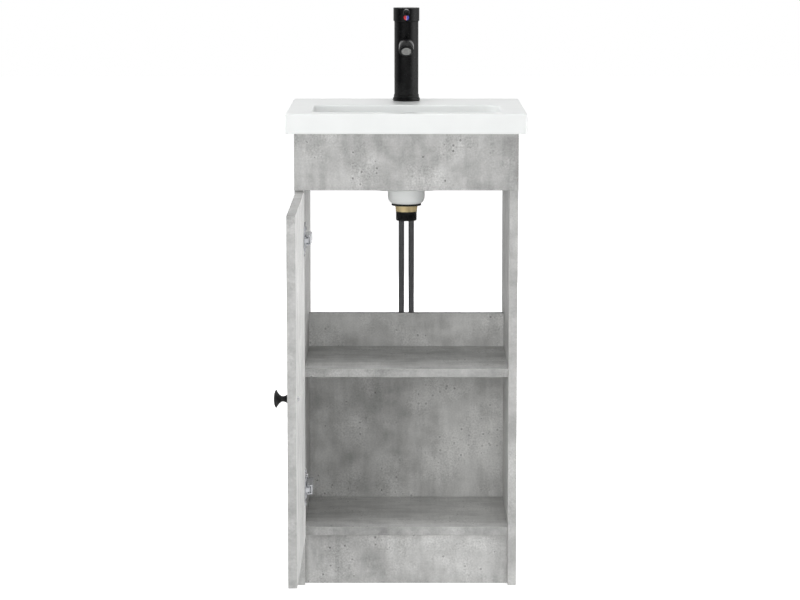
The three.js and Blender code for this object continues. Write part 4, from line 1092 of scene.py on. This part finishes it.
reach = (pin_high.y - pin_low.y) * 1000
pin = turned("lever_pin_turned", [
    (0, 0), (2.5, 0), *zigzag(3.0, 2.6, 0.6, 0.5, 16), (2.6, 8.9), (5.2, 8.9), (5.5, 9.2),
    (5.5, reach - 1.2), (5.3, reach - 0.5), (4.8, reach - 0.12), (4.2, reach), (3.9, reach - 0.15),
    (2.4, reach - 0.45), (0, reach - 0.5)], (0, pin_high.y, pin_z), (0, -1, 0))
own(smooth(pin), tap_finish, "handle", "black_tap", "lever_pin")

button_finish, paint, surface = new_finish("red_blue_button", Specular_IOR_Level=0.5, Coat_Weight=0.5,
                                           Coat_Roughness=0.08)
sideways = paint.spot().part("X")
grain = cloudy(paint, paint.spot(), 700, 3.0, 0.2)
hot = grain.rise(0.3, 0.7).colours(tone(206, 42, 52), tone(226, 66, 72))
cold = grain.rise(0.3, 0.7).colours(tone(66, 74, 192), tone(92, 102, 214))
halves = sideways.rise(0.0003, 0.0004).colours(hot, cold)
parting = paint.math("ABSOLUTE", sideways - 0.0002).rise(0.0005, 0.00025)
feed(surface,
     Base_Color=parting.colours(halves, tone(222, 200, 222)),
     Roughness=grain * 0.15 + 0.22,
     Normal=relief(paint, grain, 0.00004, 0.3))
button = turned("indicator_button", [
    (0, 0), (4.4, 0), (4.75, 0.35), (4.75, 1.0), (4.55, 1.3), (4.3, 1.4), (4.1, 1.25), (2, 1.35), (0, 1.4)],
    (0, dot_high.y, dot_z), (0, -1, 0))
own(smooth(button), button_finish, "handle", "red_blue_dot", "indicator")


# Tap fixing: a nickel-plated threaded stud in the body, a horseshoe washer under the deck and a
# brass nut that clamps them.

def hexagon(name, node, width, edge):
    """A hexagonal bar in a CAD node's place, as wide across its flats as told and chamfered at both
    ends by an edge, both in mm."""
    foot, tall = stand_of(node)
    radius = width / math.sqrt(3)
    prism = turned(name, [(0, 0), (radius, 0), (radius, tall), (0, tall)], (0, 0, 0), sides=6)
    prism.rotation_euler.z = math.radians(30)
    prism.location = foot
    apply_place()
    end = radius - 3 * edge
    rounding = turned("chamfer", [
        (0, -edge), (end, -edge), (radius + edge, edge + 0.1), (radius + edge, tall - edge - 0.1),
        (end, tall + edge), (0, tall + edge)], foot, sides=90)
    return carve(prism, rounding, way="INTERSECT")


def hole_through(diameter, node):
    """A round cutter that goes right through a standing piece, from below."""
    foot, tall = stand_of(node)
    return peg(diameter, foot - Vector((0, 0, past_face)), foot + Vector((0, 0, tall / 1000 + past_face)))


foot, tall = stand_of("tap_stud")
stud = turned("tap_stud_threaded", [
    (0, 0), (3.2, 0), *zigzag(3.45, 4.0, 0.9, 0.625, int((tall - 1.8) / 0.625) + 1), (3.2, tall), (0, tall)],
    foot, sides=32)
own(smooth(stud, 60, False), nickel_finish, "cabinet", "nickel_steel", "tap_stud")

washer = pressed("horseshoe_washer_stamped", "horseshoe_washer", 0.00025)
own(smooth(washer, 40), nickel_finish, "cabinet", "nickel_steel", "horseshoe_washer")

nut = hexagon("stud_nut_hexagon", "stud_nut", 13, 0.7)
carve(nut, hole_through(stud_bore, "stud_nut"))
own(smooth(nut, 30), brass_finish, "cabinet", "yellow_brass", "stud_nut")


# Hose ends: a nickel-plated ferrule crimped on each hose in three rings, its collar drawn up by a
# chromed hexagonal swivel nut.

for name in hoses:
    foot, tall = stand_of(name + "_ferrule")
    crimps = [(radius, height + 4.2 * ring) for ring in range(3)
              for radius, height in ((6.3, 12.0), (5.9, 12.6), (5.9, 13.8), (6.3, 14.4))]
    ferrule = turned(name + "_ferrule_crimped", [
        (0, 0), (6.4, 0), (6.9, 0.5), (6.9, 3.7), (6.4, 4.2), (3.7, 4.2), (3.7, 9.5), (6.0, 9.5), (6.3, 9.8),
        *crimps, (6.3, tall - 0.4), (6.0, tall), (0, tall)], foot, sides=64)
    own(smooth(ferrule, 36), nickel_finish, "cabinet", "nickel_steel", name + "_ferrule")

    nut = hexagon(name + "_nut_hexagon", name + "_nut", 19, 0.9)
    thread = turned("thread", [
        (0, -3), (7.5, -3), *zigzag(7.5, 7.0, 0.4, 0.7, 12), (7.5, 9), (0, 9)], stand_of(name + "_nut")[0])
    carve(nut, hole_through(hose_bore, name + "_nut"), thread)
    own(smooth(nut, 30), chrome_finish, "cabinet", "chrome_brass", name + "_nut")


# The names of the pieces on each hose's far end
for name, (hose, points) in hoses.items():
    name + "_ferrule_crimped"
    name + "_nut_hexagon"
